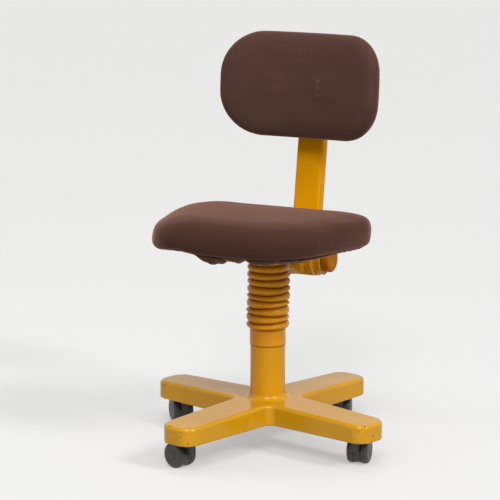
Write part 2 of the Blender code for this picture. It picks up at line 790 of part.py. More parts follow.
def build_bracket(seat_frame):
    """The pressed tray under the seat, with its swivel hub inside."""
    low = (-BRACKET_HALF_WIDTH, -BRACKET_FRONT, -BRACKET_HEIGHT)
    high = (BRACKET_HALF_WIDTH, BRACKET_REAR, 0.0)
    tray = place("seat_bracket", box_mesh("seat_bracket", low, high), seat_frame)
    form = bmesh.new()
    form.from_mesh(tray.data)
    weights = form.edges.layers.float.new("bevel_weight_edge")
    for edge in form.edges:
        first, second = (vert.co for vert in edge.verts)
        if abs(first.z - second.z) > GAP:
            edge[weights] = 1.0
    form.to_mesh(tray.data)
    form.free()
    bevel = tray.modifiers.new("rounded_corners", "BEVEL")
    bevel.width = BRACKET_CORNER
    bevel.segments = 3
    bevel.limit_method = "WEIGHT"
    wall = BRACKET_WALL
    inner_low = (low[0] + wall, low[1] + wall, low[2] - wall)
    inner_high = (high[0] - wall, high[1] - wall, -wall)
    cut(tray, place("tray_hollow", box_mesh("tray_hollow", inner_low, inner_high), seat_frame))
    slot_half = LEVER_R + RUN
    slot_z = LEVER_Z - SEAT_Z
    slot_low = (low[0] - wall, -slot_half, slot_z - slot_half)
    slot_high = (low[0] + 2 * wall, slot_half, slot_z + slot_half)
    cut(tray, place("lever_slot", box_mesh("lever_slot", slot_low, slot_high), seat_frame))

    hub_inner = SPIGOT_R + RUN + SWIVEL_BUSH_WALL + GAP
    hub = [(HUB_OUTER_R, HUB_RIM), (HUB_OUTER_R, HUB_FOOT), (hub_inner, HUB_FOOT), (hub_inner, HUB_RIM)]
    hub_ring = turned("seat_hub", hub, 24)
    notch_low = (-2 * HUB_OUTER_R, -slot_half, LEVER_Z - 2 * LEVER_R)
    notch_high = (0.0, slot_half, HUB_RIM + wall)
    cut(hub_ring, place("lever_notch", box_mesh("lever_notch", notch_low, notch_high)))
    finish(hub_ring, STEEL)
    bush_top = SPIGOT_TOP - GAP
    bush = [
        (hub_inner - GAP, bush_top),
        (hub_inner - GAP, HUB_FOOT),
        (SPIGOT_R + RUN, HUB_FOOT),
        (SPIGOT_R + RUN, bush_top),
    ]
    finish(turned("swivel_bush", bush, 24), NYLON)

    bolt_x = BRACKET_HALF_WIDTH - BRACKET_WALL - 2 * BOLT_HEAD_R
    front_y = -(BRACKET_FRONT - BRACKET_WALL - 2 * BOLT_HEAD_R)
    rear_y = BRACKET_REAR - BRACKET_WALL - TONGUE_DEPTH - 2 * BOLT_HEAD_R
    shank = BRACKET_WALL + GAP + BOLT_SINK
    bolt_mesh = baked(turned("bolt", bolt_profile(shank), 10))
    spots = {
        "front_left": (-bolt_x, front_y),
        "front_right": (bolt_x, front_y),
        "rear_left": (-bolt_x, rear_y),
        "rear_right": (bolt_x, rear_y),
    }
    for corner, (x, y) in spots.items():
        under = (x, y, -BRACKET_WALL - GAP)
        finish(place(f"seat_bolt_{corner}", bolt_mesh, seat_frame, under), STEEL)
        hole = rod_mesh("seat_bolt_hole", BOLT_R + GAP, -2 * BRACKET_WALL, BRACKET_WALL, 14)
        cut(tray, place(f"bracket_hole_{corner}", hole, seat_frame, (x, y, 0.0)))
    return tray, spots.values()


def build_lever():
    """The height lever: a bent rod through the bracket's left wall, with a grip on its end."""
    pivot = empty("lever_pivot", (-BRACKET_HALF_WIDTH + BRACKET_WALL / 2, 0.0, LEVER_Z))
    inner = BRACKET_HALF_WIDTH - BRACKET_WALL / 2 + PIN_R / 4
    wall = 3 * BRACKET_WALL
    bend = (LEVER_REACH - wall) / 2
    route = [
        (inner, 0.0),
        (-wall, 0.0),
        (-wall - 0.3 * bend, -0.12 * LEVER_DROP),
        (-wall - bend, -0.55 * LEVER_DROP),
        (-wall - 1.6 * bend, -0.95 * LEVER_DROP),
        (-LEVER_REACH + GRIP_LENGTH / 2, -LEVER_DROP),
        (-LEVER_REACH, -LEVER_DROP),
    ]
    curve = bpy.data.curves.new("height_lever", "CURVE")
    curve.dimensions = "3D"
    curve.bevel_depth = LEVER_R
    curve.bevel_resolution = 2
    curve.use_fill_caps = True
    spline = curve.splines.new("POLY")
    spline.points.add(len(route) - 1)
    for point, (x, z) in zip(spline.points, route):
        point.co = (x, 0.0, z, 1.0)
    mesh = baked(place("height_lever", curve))
    form = bmesh.new()
    form.from_mesh(mesh)
    bmesh.ops.remove_doubles(form, verts=form.verts, dist=0.000001)
    bmesh.ops.recalc_face_normals(form, faces=form.faces)
    form.to_mesh(mesh)
    form.free()
    finish(place("height_lever", mesh, pivot), STEEL, 50)

    grip = [
        (0.0, GRIP_LENGTH),
        (0.6 * GRIP_R, GRIP_LENGTH),
        (GRIP_R, 0.8 * GRIP_LENGTH),
        (0.85 * GRIP_R, 0.3 * GRIP_LENGTH),
        (0.85 * GRIP_R, 0.0),
        (LEVER_R + GAP, 0.0),
        (LEVER_R + GAP, 0.5 * GRIP_LENGTH),
        (0.0, 0.5 * GRIP_LENGTH),
    ]
    spot = (-LEVER_REACH + 0.5 * GRIP_LENGTH - GAP, 0.0, -LEVER_DROP)
    finish(turned("lever_grip", grip, 18, pivot, spot, (0.0, -math.pi / 2, 0.0)), CHARCOAL)


def seat_corners():
    rear_x = SEAT_REAR_HALF - SEAT_REAR_RADIUS
    front_x = SEAT_FRONT_HALF - SEAT_FRONT_RADIUS
    rear_y = SEAT_REAR - SEAT_REAR_RADIUS
    front_y = -SEAT_FRONT + SEAT_FRONT_RADIUS
    return [
        (rear_x, rear_y, SEAT_REAR_RADIUS),
        (-rear_x, rear_y, SEAT_REAR_RADIUS),
        (-front_x, front_y, SEAT_FRONT_RADIUS),
        (front_x, front_y, SEAT_FRONT_RADIUS),
    ]


def ring_at(outline, height):
    return [(point.x, point.y, height) for point in outline]


def build_seat(seat_frame, tray_spots):
    corners = seat_corners()
    pan_outline = [tuple(p) for p in rounded_outline(corners, PAN_INSET, SEAT_POINTS)]
    pan_middle = GAP + PAN_THICKNESS / 2
    pan_mesh = moved(prism("seat_pan", pan_outline, PAN_THICKNESS), (0, 0, pan_middle))
    pan = place("seat_pan", pan_mesh, seat_frame)
    for k, (x, y) in enumerate(tray_spots):
        hole = rod_mesh("pan_hole", BOLT_R + GAP, -BOLT_SINK, BOLT_SINK + GAP, 14)
        cut(pan, place(f"pan_hole_{k}", hole, seat_frame, (x, y, GAP)))
    finish(pan, PLYWOOD)

    foot = GAP
    ceiling = PAN_THICKNESS + 2 * GAP
    shoulder = foot + CUSHION_SIDE
    rings = [
        (PAN_INSET - GAP, ceiling),
        (PAN_INSET - GAP, foot),
        (2 * CUSHION_DRAW, foot),
        (0.0, foot + 0.25 * CUSHION_SIDE),
        (CUSHION_DRAW, foot + 0.8 * CUSHION_SIDE),
    ]
    for step in range(1, 6):
        angle = step / 5 * math.pi / 2
        inset = CUSHION_DRAW + CUSHION_ROUND * (1 - math.cos(angle))
        rings.append((inset, shoulder + CUSHION_SHOULDER * math.sin(angle)))
    top = shoulder + CUSHION_SHOULDER
    reach = (SEAT_FRONT + SEAT_REAR) / 2 - CUSHION_ROUND
    for share in (0.25, 0.5, 0.75):
        rise = CUSHION_CROWN * (1 - (1 - share) ** 2)
        rings.append((CUSHION_DRAW + CUSHION_ROUND + share * 0.8 * reach, top + rise))
    loops = [ring_at(rounded_outline(corners, inset, SEAT_POINTS), height) for inset, height in rings]
    centre = (0.0, (SEAT_REAR - SEAT_FRONT) / 2, top + CUSHION_CROWN)
    cushion = loft("seat_cushion", loops, last_centre=centre)
    finish(place("seat_cushion", cushion, seat_frame), BROWN_CLOTH, 60)
    build_hem(seat_frame, corners)


def build_hem(seat_frame, corners):
    """The cover's gathered hem, drawn in under the pan, with folds and a slack stretch at the front."""
    outer = rounded_outline(corners, 0.5 * PAN_INSET, HEM_POINTS)
    turn = rounded_outline(corners, PAN_INSET, HEM_POINTS)
    inner = rounded_outline(corners, PAN_INSET + HEM_WIDTH, HEM_POINTS)
    sections = []
    for i in range(HEM_POINTS):
        forward = max(0.0, -outer[i].y / SEAT_FRONT)
        slack = forward**4 * max(0.0, 1 - ((outer[i].x - HEM_SAG_X) / HEM_SAG_HALF) ** 2)
        wave = 0.5 + 0.5 * math.sin(2 * math.pi * HEM_FOLDS * i / HEM_POINTS)
        drop = HEM_DEPTH + HEM_FOLD * wave + HEM_SAG * slack
        tuck = turn[i].lerp(inner[i], min(1.0, HEM_REAR_SHARE + forward))
        sections.append([
            (*outer[i], 0.0),
            (*turn[i], -drop),
            (*tuck, -0.5 * drop),
            (*tuck, 0.0),
        ])
    finish(place("seat_hem", looped_loft("seat_hem", sections), seat_frame), BROWN_CLOTH, 60)


def build_back_arm(seat_frame, tray):
    """The sloping bar from the bracket to the yoke that holds the upright."""
    arm_frame = empty("arm_frame", (0.0, HINGE_Y, HINGE_Z), (-ARM_SLOPE, 0.0, 0.0))
    start = -(HINGE_Y - BAR_START) / math.cos(ARM_SLOPE)
    end = -YOKE_CLEAR
    shoulder = -BAR_UNDER + BAR_SIDE
    crest = shoulder + BAR_CHAMFER
    section = [
        (BAR_HALF_BOTTOM, -BAR_UNDER),
        (BAR_HALF_BOTTOM, shoulder),
        (BAR_HALF_TOP, crest),
        (-BAR_HALF_TOP, crest),
        (-BAR_HALF_BOTTOM, shoulder),
        (-BAR_HALF_BOTTOM, -BAR_UNDER),
    ]
    rings = [[(x, y, z) for x, z in section] for y in (start, end - CHEEK)]
    arm = place("back_arm", loft("back_arm", rings), arm_frame)

    yoke_half = UPRIGHT_WIDTH / 2 + RUN + CHEEK
    yoke_low = -BAR_UNDER - YOKE_DROP
    side = [
        (-YOKE_FRONT, YOKE_TOP),
        (-YOKE_FRONT, shoulder),
        (-YOKE_FRONT + YOKE_SLANT, yoke_low),
        (YOKE_REAR, yoke_low),
        (YOKE_REAR, YOKE_TOP),
    ]
    join(arm, place("yoke", on_side(prism("yoke", side, 2 * yoke_half)), arm_frame))
    slot_half = UPRIGHT_WIDTH / 2 + RUN
    slot_low = (-slot_half, -YOKE_CLEAR, yoke_low - CHEEK)
    slot_high = (slot_half, YOKE_REAR + CHEEK, YOKE_TOP + CHEEK)
    cut(arm, place("yoke_slot", box_mesh("yoke_slot", slot_low, slot_high), arm_frame))
    boss_end = yoke_half + KNOB_STANDOFF - KNOB_GAP
    boss = rod_mesh("yoke_boss", YOKE_BOSS_R, slot_half + 0.5 * CHEEK, boss_end, 32, "X")
    join(arm, place("yoke_boss", boss, arm_frame))
    hub_bore = rod_mesh("knob_hub_bore", KNOB_HUB_R + RUN, yoke_half, boss_end + KNOB_GAP, 24, "X")
    cut(arm, place("knob_hub_bore", hub_bore, arm_frame))
    bore = rod_mesh("yoke_bore", TILT_AXLE_R + GAP, -2 * yoke_half, 2 * yoke_half, 20, "X")
    cut(arm, place("yoke_bore", bore, arm_frame))

    tongue_rear = BRACKET_REAR - BRACKET_WALL - GAP
    tongue_front = tongue_rear - TONGUE_DEPTH
    bar_crest = HINGE_Z + (HINGE_Y - tongue_front) * math.tan(ARM_SLOPE) + crest / math.cos(ARM_SLOPE)
    tongue_foot = bar_crest - SEAT_Z - BAR_CHAMFER
    tongue_top = -BRACKET_WALL - GAP
    tongue_low = (-TONGUE_HALF, tongue_front, tongue_foot)
    tongue_high = (TONGUE_HALF, tongue_rear, tongue_top)
    join(arm, place("arm_tongue", box_mesh("arm_tongue", tongue_low, tongue_high), seat_frame))

    shank = BRACKET_WALL + GAP + BOLT_SINK
    bolt_mesh = baked(turned("arm_bolt", bolt_profile(shank), 10))
    bolt_z = -BRACKET_HEIGHT / 2
    facing = (math.pi / 2, 0.0, 0.0)
    for name, x in (("left", -TONGUE_HALF / 2), ("right", TONGUE_HALF / 2)):
        spot = (x, BRACKET_REAR + GAP, bolt_z)
        finish(place(f"arm_bolt_{name}", bolt_mesh, seat_frame, spot, facing), STEEL)
        deep = -shank - GAP
        for target, owner in ((tray, "tray"), (arm, "arm")):
            hole = rod_mesh("arm_bolt_hole", BOLT_R + GAP, deep, BOLT_HEAD, 14, "Y")
            cut(target, place(f"{owner}_bolt_hole_{name}", hole, seat_frame, spot))
    finish(arm, MUSTARD)
    return yoke_half


def build_upright(yoke_half):
    frame = empty("upright_frame", (0.0, HINGE_Y, HINGE_Z), (-BACK_LEAN, 0.0, 0.0))
    length = UPRIGHT_ABOVE + UPRIGHT_BELOW
    middle = (UPRIGHT_ABOVE - UPRIGHT_BELOW) / 2
    half_width, half_depth = UPRIGHT_WIDTH / 2, UPRIGHT_DEPTH / 2
    outline = rounded_rectangle(half_width, half_depth, UPRIGHT_CORNER, 3)
    inner_r = max(UPRIGHT_CORNER - UPRIGHT_WALL, GAP)
    hollow = rounded_rectangle(half_width - UPRIGHT_WALL, half_depth - UPRIGHT_WALL, inner_r, 3)
    upright = place("back_upright", moved(prism("back_upright", outline, length), (0, 0, middle)), frame)
    core = moved(prism("upright_hollow", hollow, length + 2 * CHEEK), (0, 0, middle))
    cut(upright, place("upright_hollow", core, frame))
    bore = rod_mesh("upright_bore", TILT_AXLE_R + GAP, -UPRIGHT_WIDTH, UPRIGHT_WIDTH, 20, "X")
    cut(upright, place("upright_bore", bore, frame))
    finish(upright, MUSTARD)

    plug_outline = rounded_rectangle(
        half_width - UPRIGHT_WALL - GAP, half_depth - UPRIGHT_WALL - GAP, inner_r, 3
    )
    for name, end, way in (("upper", UPRIGHT_ABOVE, 1), ("lower", -UPRIGHT_BELOW, -1)):
        head_middle = end + way * (GAP + CAP_HEIGHT / 2)
        cap = place(
            f"upright_cap_{name}", moved(prism("cap", outline, CAP_HEIGHT), (0, 0, head_middle)), frame
        )
        plug_length = CAP_PLUG + CAP_HEIGHT / 2
        plug_middle = head_middle - way * plug_length / 2
        plug = moved(prism("cap_plug", plug_outline, plug_length), (0, 0, plug_middle))
        join(cap, place(f"cap_plug_{name}", plug, frame))
        finish(cap, CHARCOAL)

    head_r = 1.7 * TILT_AXLE_R
    knob_start = yoke_half + GAP
    axle_end = knob_start + KNOB_STANDOFF
    axle = [
        (0.0, axle_end),
        (TILT_AXLE_R, axle_end),
        (TILT_AXLE_R, -knob_start),
        (head_r, -knob_start),
        (head_r, -knob_start - TILT_AXLE_R),
        (0.0, -knob_start - TILT_AXLE_R),
    ]
    hinge = (0.0, HINGE_Y, HINGE_Z)
    along_x = (0.0, math.pi / 2, 0.0)
    finish(turned("tilt_axle", axle, 20, None, hinge, along_x), STEEL)
    rim_start = knob_start + KNOB_STANDOFF
    rim_end = rim_start + KNOB_RIM
    bore = TILT_AXLE_R + GAP
    knob = [
        (0.0, rim_end),
        (KNOB_R - 2 * KNOB_EDGE, rim_end),
        (KNOB_R - 0.5 * KNOB_EDGE, rim_end - 0.3 * KNOB_EDGE),
        (KNOB_R, rim_end - KNOB_EDGE),
        (KNOB_R, rim_start + 0.5 * KNOB_EDGE),
        (KNOB_R - 0.5 * KNOB_EDGE, rim_start),
        (KNOB_HUB_R, rim_start),
        (KNOB_HUB_R, knob_start),
        (bore, knob_start),
        (bore, axle_end + GAP),
        (0.0, axle_end + GAP),
    ]
    finish(turned("tilt_knob", knob, 28, None, hinge, along_x), MUSTARD)
    return frame


def build_carrier(upright_frame):
    """The sleeve that slides on the upright, its clamp screw, and the pivot of the backrest."""
    frame = empty("carrier_frame", (0.0, 0.0, CARRIER_RISE), parent=upright_frame)
    inner_x = UPRIGHT_WIDTH / 2 + GAP
    inner_y = UPRIGHT_DEPTH / 2 + GAP
    outer_x = inner_x + CARRIER_WALL
    outer_y = inner_y + CARRIER_WALL
    corner = UPRIGHT_CORNER
    outline = rounded_rectangle(outer_x, outer_y, corner + CARRIER_WALL, 3)
    sleeve = place("back_carrier", prism("back_carrier", outline, CARRIER_HEIGHT), frame)
    pivot_y = -outer_y - PIVOT_OFFSET
    ear_inner = LUG_HALF + GAP
    for name, side in (("left", -1), ("right", 1)):
        ear = [
            (pivot_y, LUG_R),
            (-outer_y + CARRIER_WALL / 2, CARRIER_HEIGHT / 3),
            (-outer_y + CARRIER_WALL / 2, -CARRIER_HEIGHT / 3),
            (pivot_y, -LUG_R),
        ]
        ear += arc((pivot_y, 0.0), LUG_R, 1.5 * math.pi, 0.5 * math.pi, 6)[1:-1]
        ear_x = side * (ear_inner + EAR_THICKNESS / 2)
        plate = moved(on_side(prism("ear", ear, EAR_THICKNESS)), (ear_x, 0, 0))
        join(sleeve, place(f"carrier_ear_{name}", plate, frame))
    boss_end = outer_y + SCREW_BOSS
    boss = rod_mesh("screw_boss", SCREW_BOSS_R, outer_y - CARRIER_WALL / 2, boss_end, 20, "Y")
    join(sleeve, place("screw_boss", boss, frame))
    hollow = rounded_rectangle(inner_x, inner_y, corner, 3)
    cut(sleeve, place("sleeve_hollow", prism("sleeve_hollow", hollow, 2 * CARRIER_HEIGHT), frame))
    screw_hole = rod_mesh("screw_hole", SCREW_R + GAP, 0.0, boss_end + CARRIER_WALL, 16, "Y")
    cut(sleeve, place("screw_hole", screw_hole, frame))
    pin_half = ear_inner + EAR_THICKNESS
    pin_hole = rod_mesh("pivot_hole", PIVOT_R + GAP, -2 * pin_half, 2 * pin_half, 16, "X")
    cut(sleeve, place("pivot_hole", pin_hole, frame, (0.0, pivot_y, 0.0)))
    finish(sleeve, MUSTARD)
    pin = rod_mesh("pivot_pin", PIVOT_R, -pin_half - CARRIER_WALL, pin_half + CARRIER_WALL, 16, "X")
    finish(place("pivot_pin", pin, frame, (0.0, pivot_y, 0.0)), STEEL)

    knob_low = boss_end + GAP
    screw = [
        (0.0, knob_low + SCREW_KNOB),
        (0.8 * SCREW_KNOB_R, knob_low + SCREW_KNOB),
        (SCREW_KNOB_R, knob_low + 0.8 * SCREW_KNOB),
        (SCREW_KNOB_R, knob_low + 0.3 * SCREW_KNOB),
        (SCREW_BOSS_R, knob_low),
        (SCREW_R, knob_low),
        (SCREW_R, UPRIGHT_DEPTH / 2 + GAP),
        (0.0, UPRIGHT_DEPTH / 2 + GAP),
    ]
    facing = (-math.pi / 2, 0.0, 0.0)
    finish(turned("clamp_screw", screw, 20, frame, (0, 0, 0), facing), CHARCOAL)
    return frame, pivot_y


def bent(outline, depth):
    """A backrest ring: the outline stands up, and its ends curve forwards."""
    bend = 1 / (2 * BACK_BEND_RADIUS)
    return [(point.x, depth - bend * point.x**2, point.y) for point in outline]


def bent_slab(name, front, rear):
    """A curved slab, flat in strips, that stands wider and taller than the backrest."""
    bend = 1 / (2 * BACK_BEND_RADIUS)
    half = 1.2 * BACK_HALF_WIDTH
    stations = [half * (2 * i / BACK_STRIPS - 1) for i in range(BACK_STRIPS + 1)]
    outline = [(x, front - bend * x**2) for x in stations]
    outline += [(x, rear - bend * x**2) for x in reversed(stations)]
    return prism(name, outline, 4 * BACK_HALF_HEIGHT)


def build_backrest(carrier_frame, pivot_y):
    tilt = BACK_LEAN - BACK_TILT
    frame = empty("back_pivot", (0.0, pivot_y, 0.0), (tilt, 0.0, 0.0), carrier_frame)
    plate_rear = -LUG_R
    plate_front = plate_rear - BACK_PLATE
    half = BACK_PLATE_HALF
    plate_box = box_mesh("back_plate", (-half, plate_front, -half), (half, plate_rear, half))
    plate = place("back_plate", plate_box, frame)
    lug = [(plate_rear - BACK_PLATE / 2, -2 * LUG_R), (0.0, -LUG_R)]
    lug += arc((0.0, 0.0), LUG_R, -0.5 * math.pi, 0.5 * math.pi, 6)[1:-1]
    lug += [(0.0, LUG_R), (plate_rear - BACK_PLATE / 2, 2 * LUG_R)]
    join(plate, place("pivot_lug", on_side(prism("pivot_lug", lug, 2 * LUG_HALF)), frame))
    hole = rod_mesh("lug_hole", PIVOT_R + GAP, -2 * LUG_HALF, 2 * LUG_HALF, 16, "X")
    cut(plate, place("lug_hole", hole, frame))
    finish(plate, MUSTARD)

    x = BACK_HALF_WIDTH - BACK_RADIUS
    z = BACK_HALF_HEIGHT - BACK_RADIUS
    corners = [(x, z, BACK_RADIUS), (-x, z, BACK_RADIUS), (-x, -z, BACK_RADIUS), (x, -z, BACK_RADIUS)]
    shell_rear = plate_front - GAP
    shell_front = shell_rear - BACK_SHELL
    shell = place("back_shell", bent_slab("back_shell", shell_front, shell_rear), frame)
    border = [tuple(p) for p in rounded_outline(corners, BACK_SHELL_INSET, BACK_POINTS)]
    border_mesh = moved(prism("shell_border", border, 4 * BACK_HALF_HEIGHT), rotation=(math.pi / 2, "X"))
    boolean(shell, place("shell_border", border_mesh, frame), "INTERSECT")
    finish(shell, DARK_SHELL, 50)

    def ring(inset, depth):
        return bent(rounded_outline(corners, inset, BACK_POINTS), depth)

    pad_rear = shell_front - GAP
    pad_front = pad_rear - BACK_THICKNESS
    waist = pad_rear - 0.4 * BACK_THICKNESS
    surplus = pad_rear + 0.4 * BACK_THICKNESS
    rings = [ring(BACK_ROUND, surplus), ring(BACK_ROUND, pad_rear)]
    for share in (0.35, 0.7, 1.0):
        angle = share * math.pi / 2
        inset = BACK_ROUND * (1 - math.sin(angle))
        rings.append(ring(inset, pad_rear + (waist - pad_rear) * (1 - math.cos(angle))))
    for share in (0.35, 0.7, 1.0):
        angle = share * math.pi / 2
        inset = BACK_ROUND * (1 - math.cos(angle))
        rings.append(ring(inset, waist + (pad_front + BACK_CROWN - waist) * math.sin(angle)))
    for share in (0.3, 0.7):
        inset = BACK_ROUND + share * (0.9 * BACK_RADIUS - BACK_ROUND)
        rings.append(ring(inset, pad_front + BACK_CROWN * (1 - share) ** 2))
    cushion_mesh = loft("back_cushion", rings, (0.0, surplus, 0.0), (0.0, pad_front, 0.0))
    cushion = place("back_cushion", cushion_mesh, frame)
    cut(cushion, place("pad_seat", bent_slab("pad_seat", pad_rear, pad_rear + BACK_THICKNESS), frame))
    finish(cushion, BROWN_CLOTH, 60)


def build_chair():
    build_casters()
    build_base()
    build_column()
    seat_frame = empty("seat_frame", (0.0, 0.0, SEAT_Z), (-SEAT_TILT, 0.0, 0.0))
    tray, tray_spots = build_bracket(seat_frame)
    build_lever()
    build_seat(seat_frame, tray_spots)
    yoke_half = build_back_arm(seat_frame, tray)
    finish(tray, MUSTARD)
    upright_frame = build_upright(yoke_half)
    carrier_frame, pivot_y = build_carrier(upright_frame)
    build_backrest(carrier_frame, pivot_y)


build_chair()
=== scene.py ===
"""Looks for the swivel chair: fabric covers, bellows, enamelled base, casters, studio and camera."""

import json
import math
import random

import bmesh
import bpy
import numpy as np
from mathutils import Matrix, Vector, noise


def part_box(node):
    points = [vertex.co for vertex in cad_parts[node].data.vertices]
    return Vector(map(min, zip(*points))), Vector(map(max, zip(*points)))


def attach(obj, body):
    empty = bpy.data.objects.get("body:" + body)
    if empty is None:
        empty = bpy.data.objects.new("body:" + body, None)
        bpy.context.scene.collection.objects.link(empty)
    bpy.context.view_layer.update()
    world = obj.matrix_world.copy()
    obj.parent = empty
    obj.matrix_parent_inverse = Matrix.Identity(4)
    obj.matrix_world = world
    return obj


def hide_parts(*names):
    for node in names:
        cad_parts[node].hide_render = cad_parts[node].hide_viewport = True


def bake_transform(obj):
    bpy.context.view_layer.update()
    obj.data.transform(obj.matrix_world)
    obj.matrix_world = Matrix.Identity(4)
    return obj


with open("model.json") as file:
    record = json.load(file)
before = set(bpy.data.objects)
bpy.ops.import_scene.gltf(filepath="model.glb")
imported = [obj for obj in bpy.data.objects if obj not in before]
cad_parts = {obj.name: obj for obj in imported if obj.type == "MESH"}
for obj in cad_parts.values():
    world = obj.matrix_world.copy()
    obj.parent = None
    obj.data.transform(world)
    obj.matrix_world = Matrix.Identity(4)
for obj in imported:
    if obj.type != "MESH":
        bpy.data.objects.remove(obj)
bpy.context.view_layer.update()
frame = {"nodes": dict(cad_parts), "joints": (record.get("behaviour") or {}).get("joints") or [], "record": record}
nodes = frame["nodes"]
scene = bpy.context.scene
rng = random.Random(7)


def joint(name):
    return next(j for j in frame["joints"] if j["name"] == name)


# Sizes taken from the solids, in metres
CORNERS = ("front_right", "rear_right", "rear_left", "front_left")
STEM = joint("swivel_front_right")["pos_m"]
BASE_LOW, BASE_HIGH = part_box("base")
TUBE_LOW, TUBE_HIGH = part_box("column_tube")
BELLOWS_LOW, BELLOWS_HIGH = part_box("bellows")
KNOB_LOW, KNOB_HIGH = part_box("tilt_knob")
SOCKET_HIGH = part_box("caster_socket_front_right")[1]
WHEEL_R = joint("roll_front_right_left")["pos_m"][2]
CASTER_REACH = math.hypot(STEM[0], STEM[1])
ARM_TURNS = [math.atan2(STEM[1], STEM[0]) + k * math.pi / 2 for k in range(4)]
TUBE_R = TUBE_HIGH.x
HINGE = Vector(joint("back_tilt")["pos_m"])
PIVOT = Vector(joint("backrest_pivot")["pos_m"])
CLAMP = Vector(joint("clamp_turn")["pos_m"])

# Sizes shared with the solids
GAP = 0.0003
RUN = 0.0005
WHEEL_WIDTH = 0.013
WHEEL_EDGE = 0.006
WEB = 0.013
AXLE_R = 0.003
AXLE_COVER = 0.0047
ARM_REACH = CASTER_REACH + 0.0455
POCKET_END = CASTER_REACH - 0.033
ARM_ROOT = 0.060
ARM_ROOT_HALF = 0.0427
ARM_TIP_HALF = 0.0372
TIP_RADIUS = 0.029
TIP_FALL = 0.0055
CROTCH_RADIUS = 0.015
BASE_EDGE = 0.007
BASE_LOWER_EDGE = 0.35
BASE_WALL = 0.006
FOOT_FILLET = 0.011
FOOT_LIP = 0.0012
TUBE_WALL = 0.003
ROD_R = 0.005
NUT_RECESS_R = 0.013
SOCKET_R = 0.0079
CUFF_HEIGHT = 0.0325
RIB_COUNT = 10
RIB_PITCH = 0.0136
CUFF_WALL = 0.0006
SEAT_TILT = math.radians(2.9)
BACK_LEAN = math.radians(9.0)
BACK_TILT = math.radians(4.5)
UPRIGHT_CORNER = 0.004
UPRIGHT_WALL = 0.0025
KNOB_RIM = 0.015
KNOB_EDGE = 0.004
KNOB_HUB_R = 0.011
AXLE_BORE_R = 0.0053

# How finely round forms are divided
FINE_ROUND = 96
SMALL_ROUND = 48
TINY_ROUND = 32
ON_AXIS = 1e-7

# Levels that follow
BASE_UNDER = BASE_LOW.z
HUB_TOP = BASE_HIGH.z - FOOT_FILLET
TIP_TOP = HUB_TOP - TIP_FALL
HUB_FLOOR = TUBE_LOW.z - GAP
CUFF_FOOT = BELLOWS_LOW.z
RIBS_FOOT = CUFF_FOOT + CUFF_HEIGHT
RIBS_TOP = RIBS_FOOT + RIB_COUNT * RIB_PITCH
LIFT_TOP = BELLOWS_HIGH.z


def link(obj):
    scene.collection.objects.link(obj)
    return obj


def mesh_object(name, points, faces):
    mesh = bpy.data.meshes.new(name)
    mesh.from_pydata([tuple(p) for p in points], [], [tuple(f) for f in faces])
    mesh.update()
    mesh.shade_smooth()
    return link(bpy.data.objects.new(name, mesh))


def points_of(obj):
    return np.array([v.co for v in obj.data.vertices])


def move_points(obj, points):
    obj.data.vertices.foreach_set("co", points.astype(np.float32).ravel())
    obj.data.update()


def tidy_normals(obj, angle=40):
    form = bmesh.new()
    form.from_mesh(obj.data)
    bmesh.ops.recalc_face_normals(form, faces=form.faces)
    form.to_mesh(obj.data)
    form.free()
    obj.data.shade_smooth()
    obj.data.set_sharp_from_angle(angle=math.radians(angle))
    return obj


def modified(obj, kind, **settings):
    """Adds a modifier, sets it and applies it to the object's own mesh."""
    modifier = obj.modifiers.new(kind.lower(), kind)
    for key, value in settings.items():
        setattr(modifier, key, value)
    bpy.context.view_layer.update()
    graph = bpy.context.evaluated_depsgraph_get()
    mesh = bpy.data.meshes.new_from_object(obj.evaluated_get(graph))
    obj.modifiers.clear()
    obj.data = mesh
    return obj


def even_normals(obj, angle):
    """Smooth shading that keeps flat faces flat beside rounded edges."""
    return modified(tidy_normals(obj, angle), "WEIGHTED_NORMAL", keep_sharp=True)


def boolean(obj, tool, operation="DIFFERENCE"):
    modified(obj, "BOOLEAN", operation=operation, solver="EXACT", object=tool)
    bpy.data.objects.remove(tool, do_unlink=True)


def turned(name, profile, steps=64):
    """A solid of revolution about Z from (radius, height) points; ends off the axis are joined."""
    rings = []
    points, faces = [], []
    for radius, height in profile:
        if radius < ON_AXIS:
            rings.append([len(points)] * steps)
            points.append((0.0, 0.0, height))
            continue
        rings.append(range(len(points), len(points) + steps))
        points += circle(radius, height, steps)
    pairs = list(zip(rings, rings[1:]))
    if profile[0][0] > ON_AXIS and profile[-1][0] > ON_AXIS:
        pairs.append((rings[-1], rings[0]))
    for upper, lower in pairs:
        for k in range(steps):
            j = (k + 1) % steps
            corners = (upper[k], lower[k], lower[j], upper[j])
            unique = tuple(dict.fromkeys(corners))
            if len(unique) > 2:
                faces.append(unique)
    return tidy_normals(mesh_object(name, points, faces))


def peg(name, radius, low, high, steps):
    return turned(name, [(0.0, high), (radius, high), (radius, low), (0.0, low)], steps)


def placed(obj, matrix):
    obj.data.transform(matrix)
    return obj


def frame_at(point, angle, axis="X"):
    return Matrix.Translation(point) @ Matrix.Rotation(angle, 4, axis)


def extents(node, place):
    """A solid's lowest and highest corners in a local frame."""
    inverse = place.inverted()
    points = np.array([inverse @ v.co for v in nodes[node].data.vertices])
    return points.min(axis=0), points.max(axis=0)


def smooth_step(value, low, high):
    share = min(1.0, max(0.0, (value - low) / (high - low)))
    return share * share * (3 - 2 * share)


def arc(centre, radius, start, end, steps):
    points = []
    for i in range(steps + 1):
        angle = start + (end - start) * i / steps
        points.append((centre[0] + radius * math.cos(angle), centre[1] + radius * math.sin(angle)))
    return points


def circle(radius, height, steps):
    return [(x, y, height) for x, y in arc((0.0, 0.0), radius, 0.0, math.tau, steps)[:-1]]


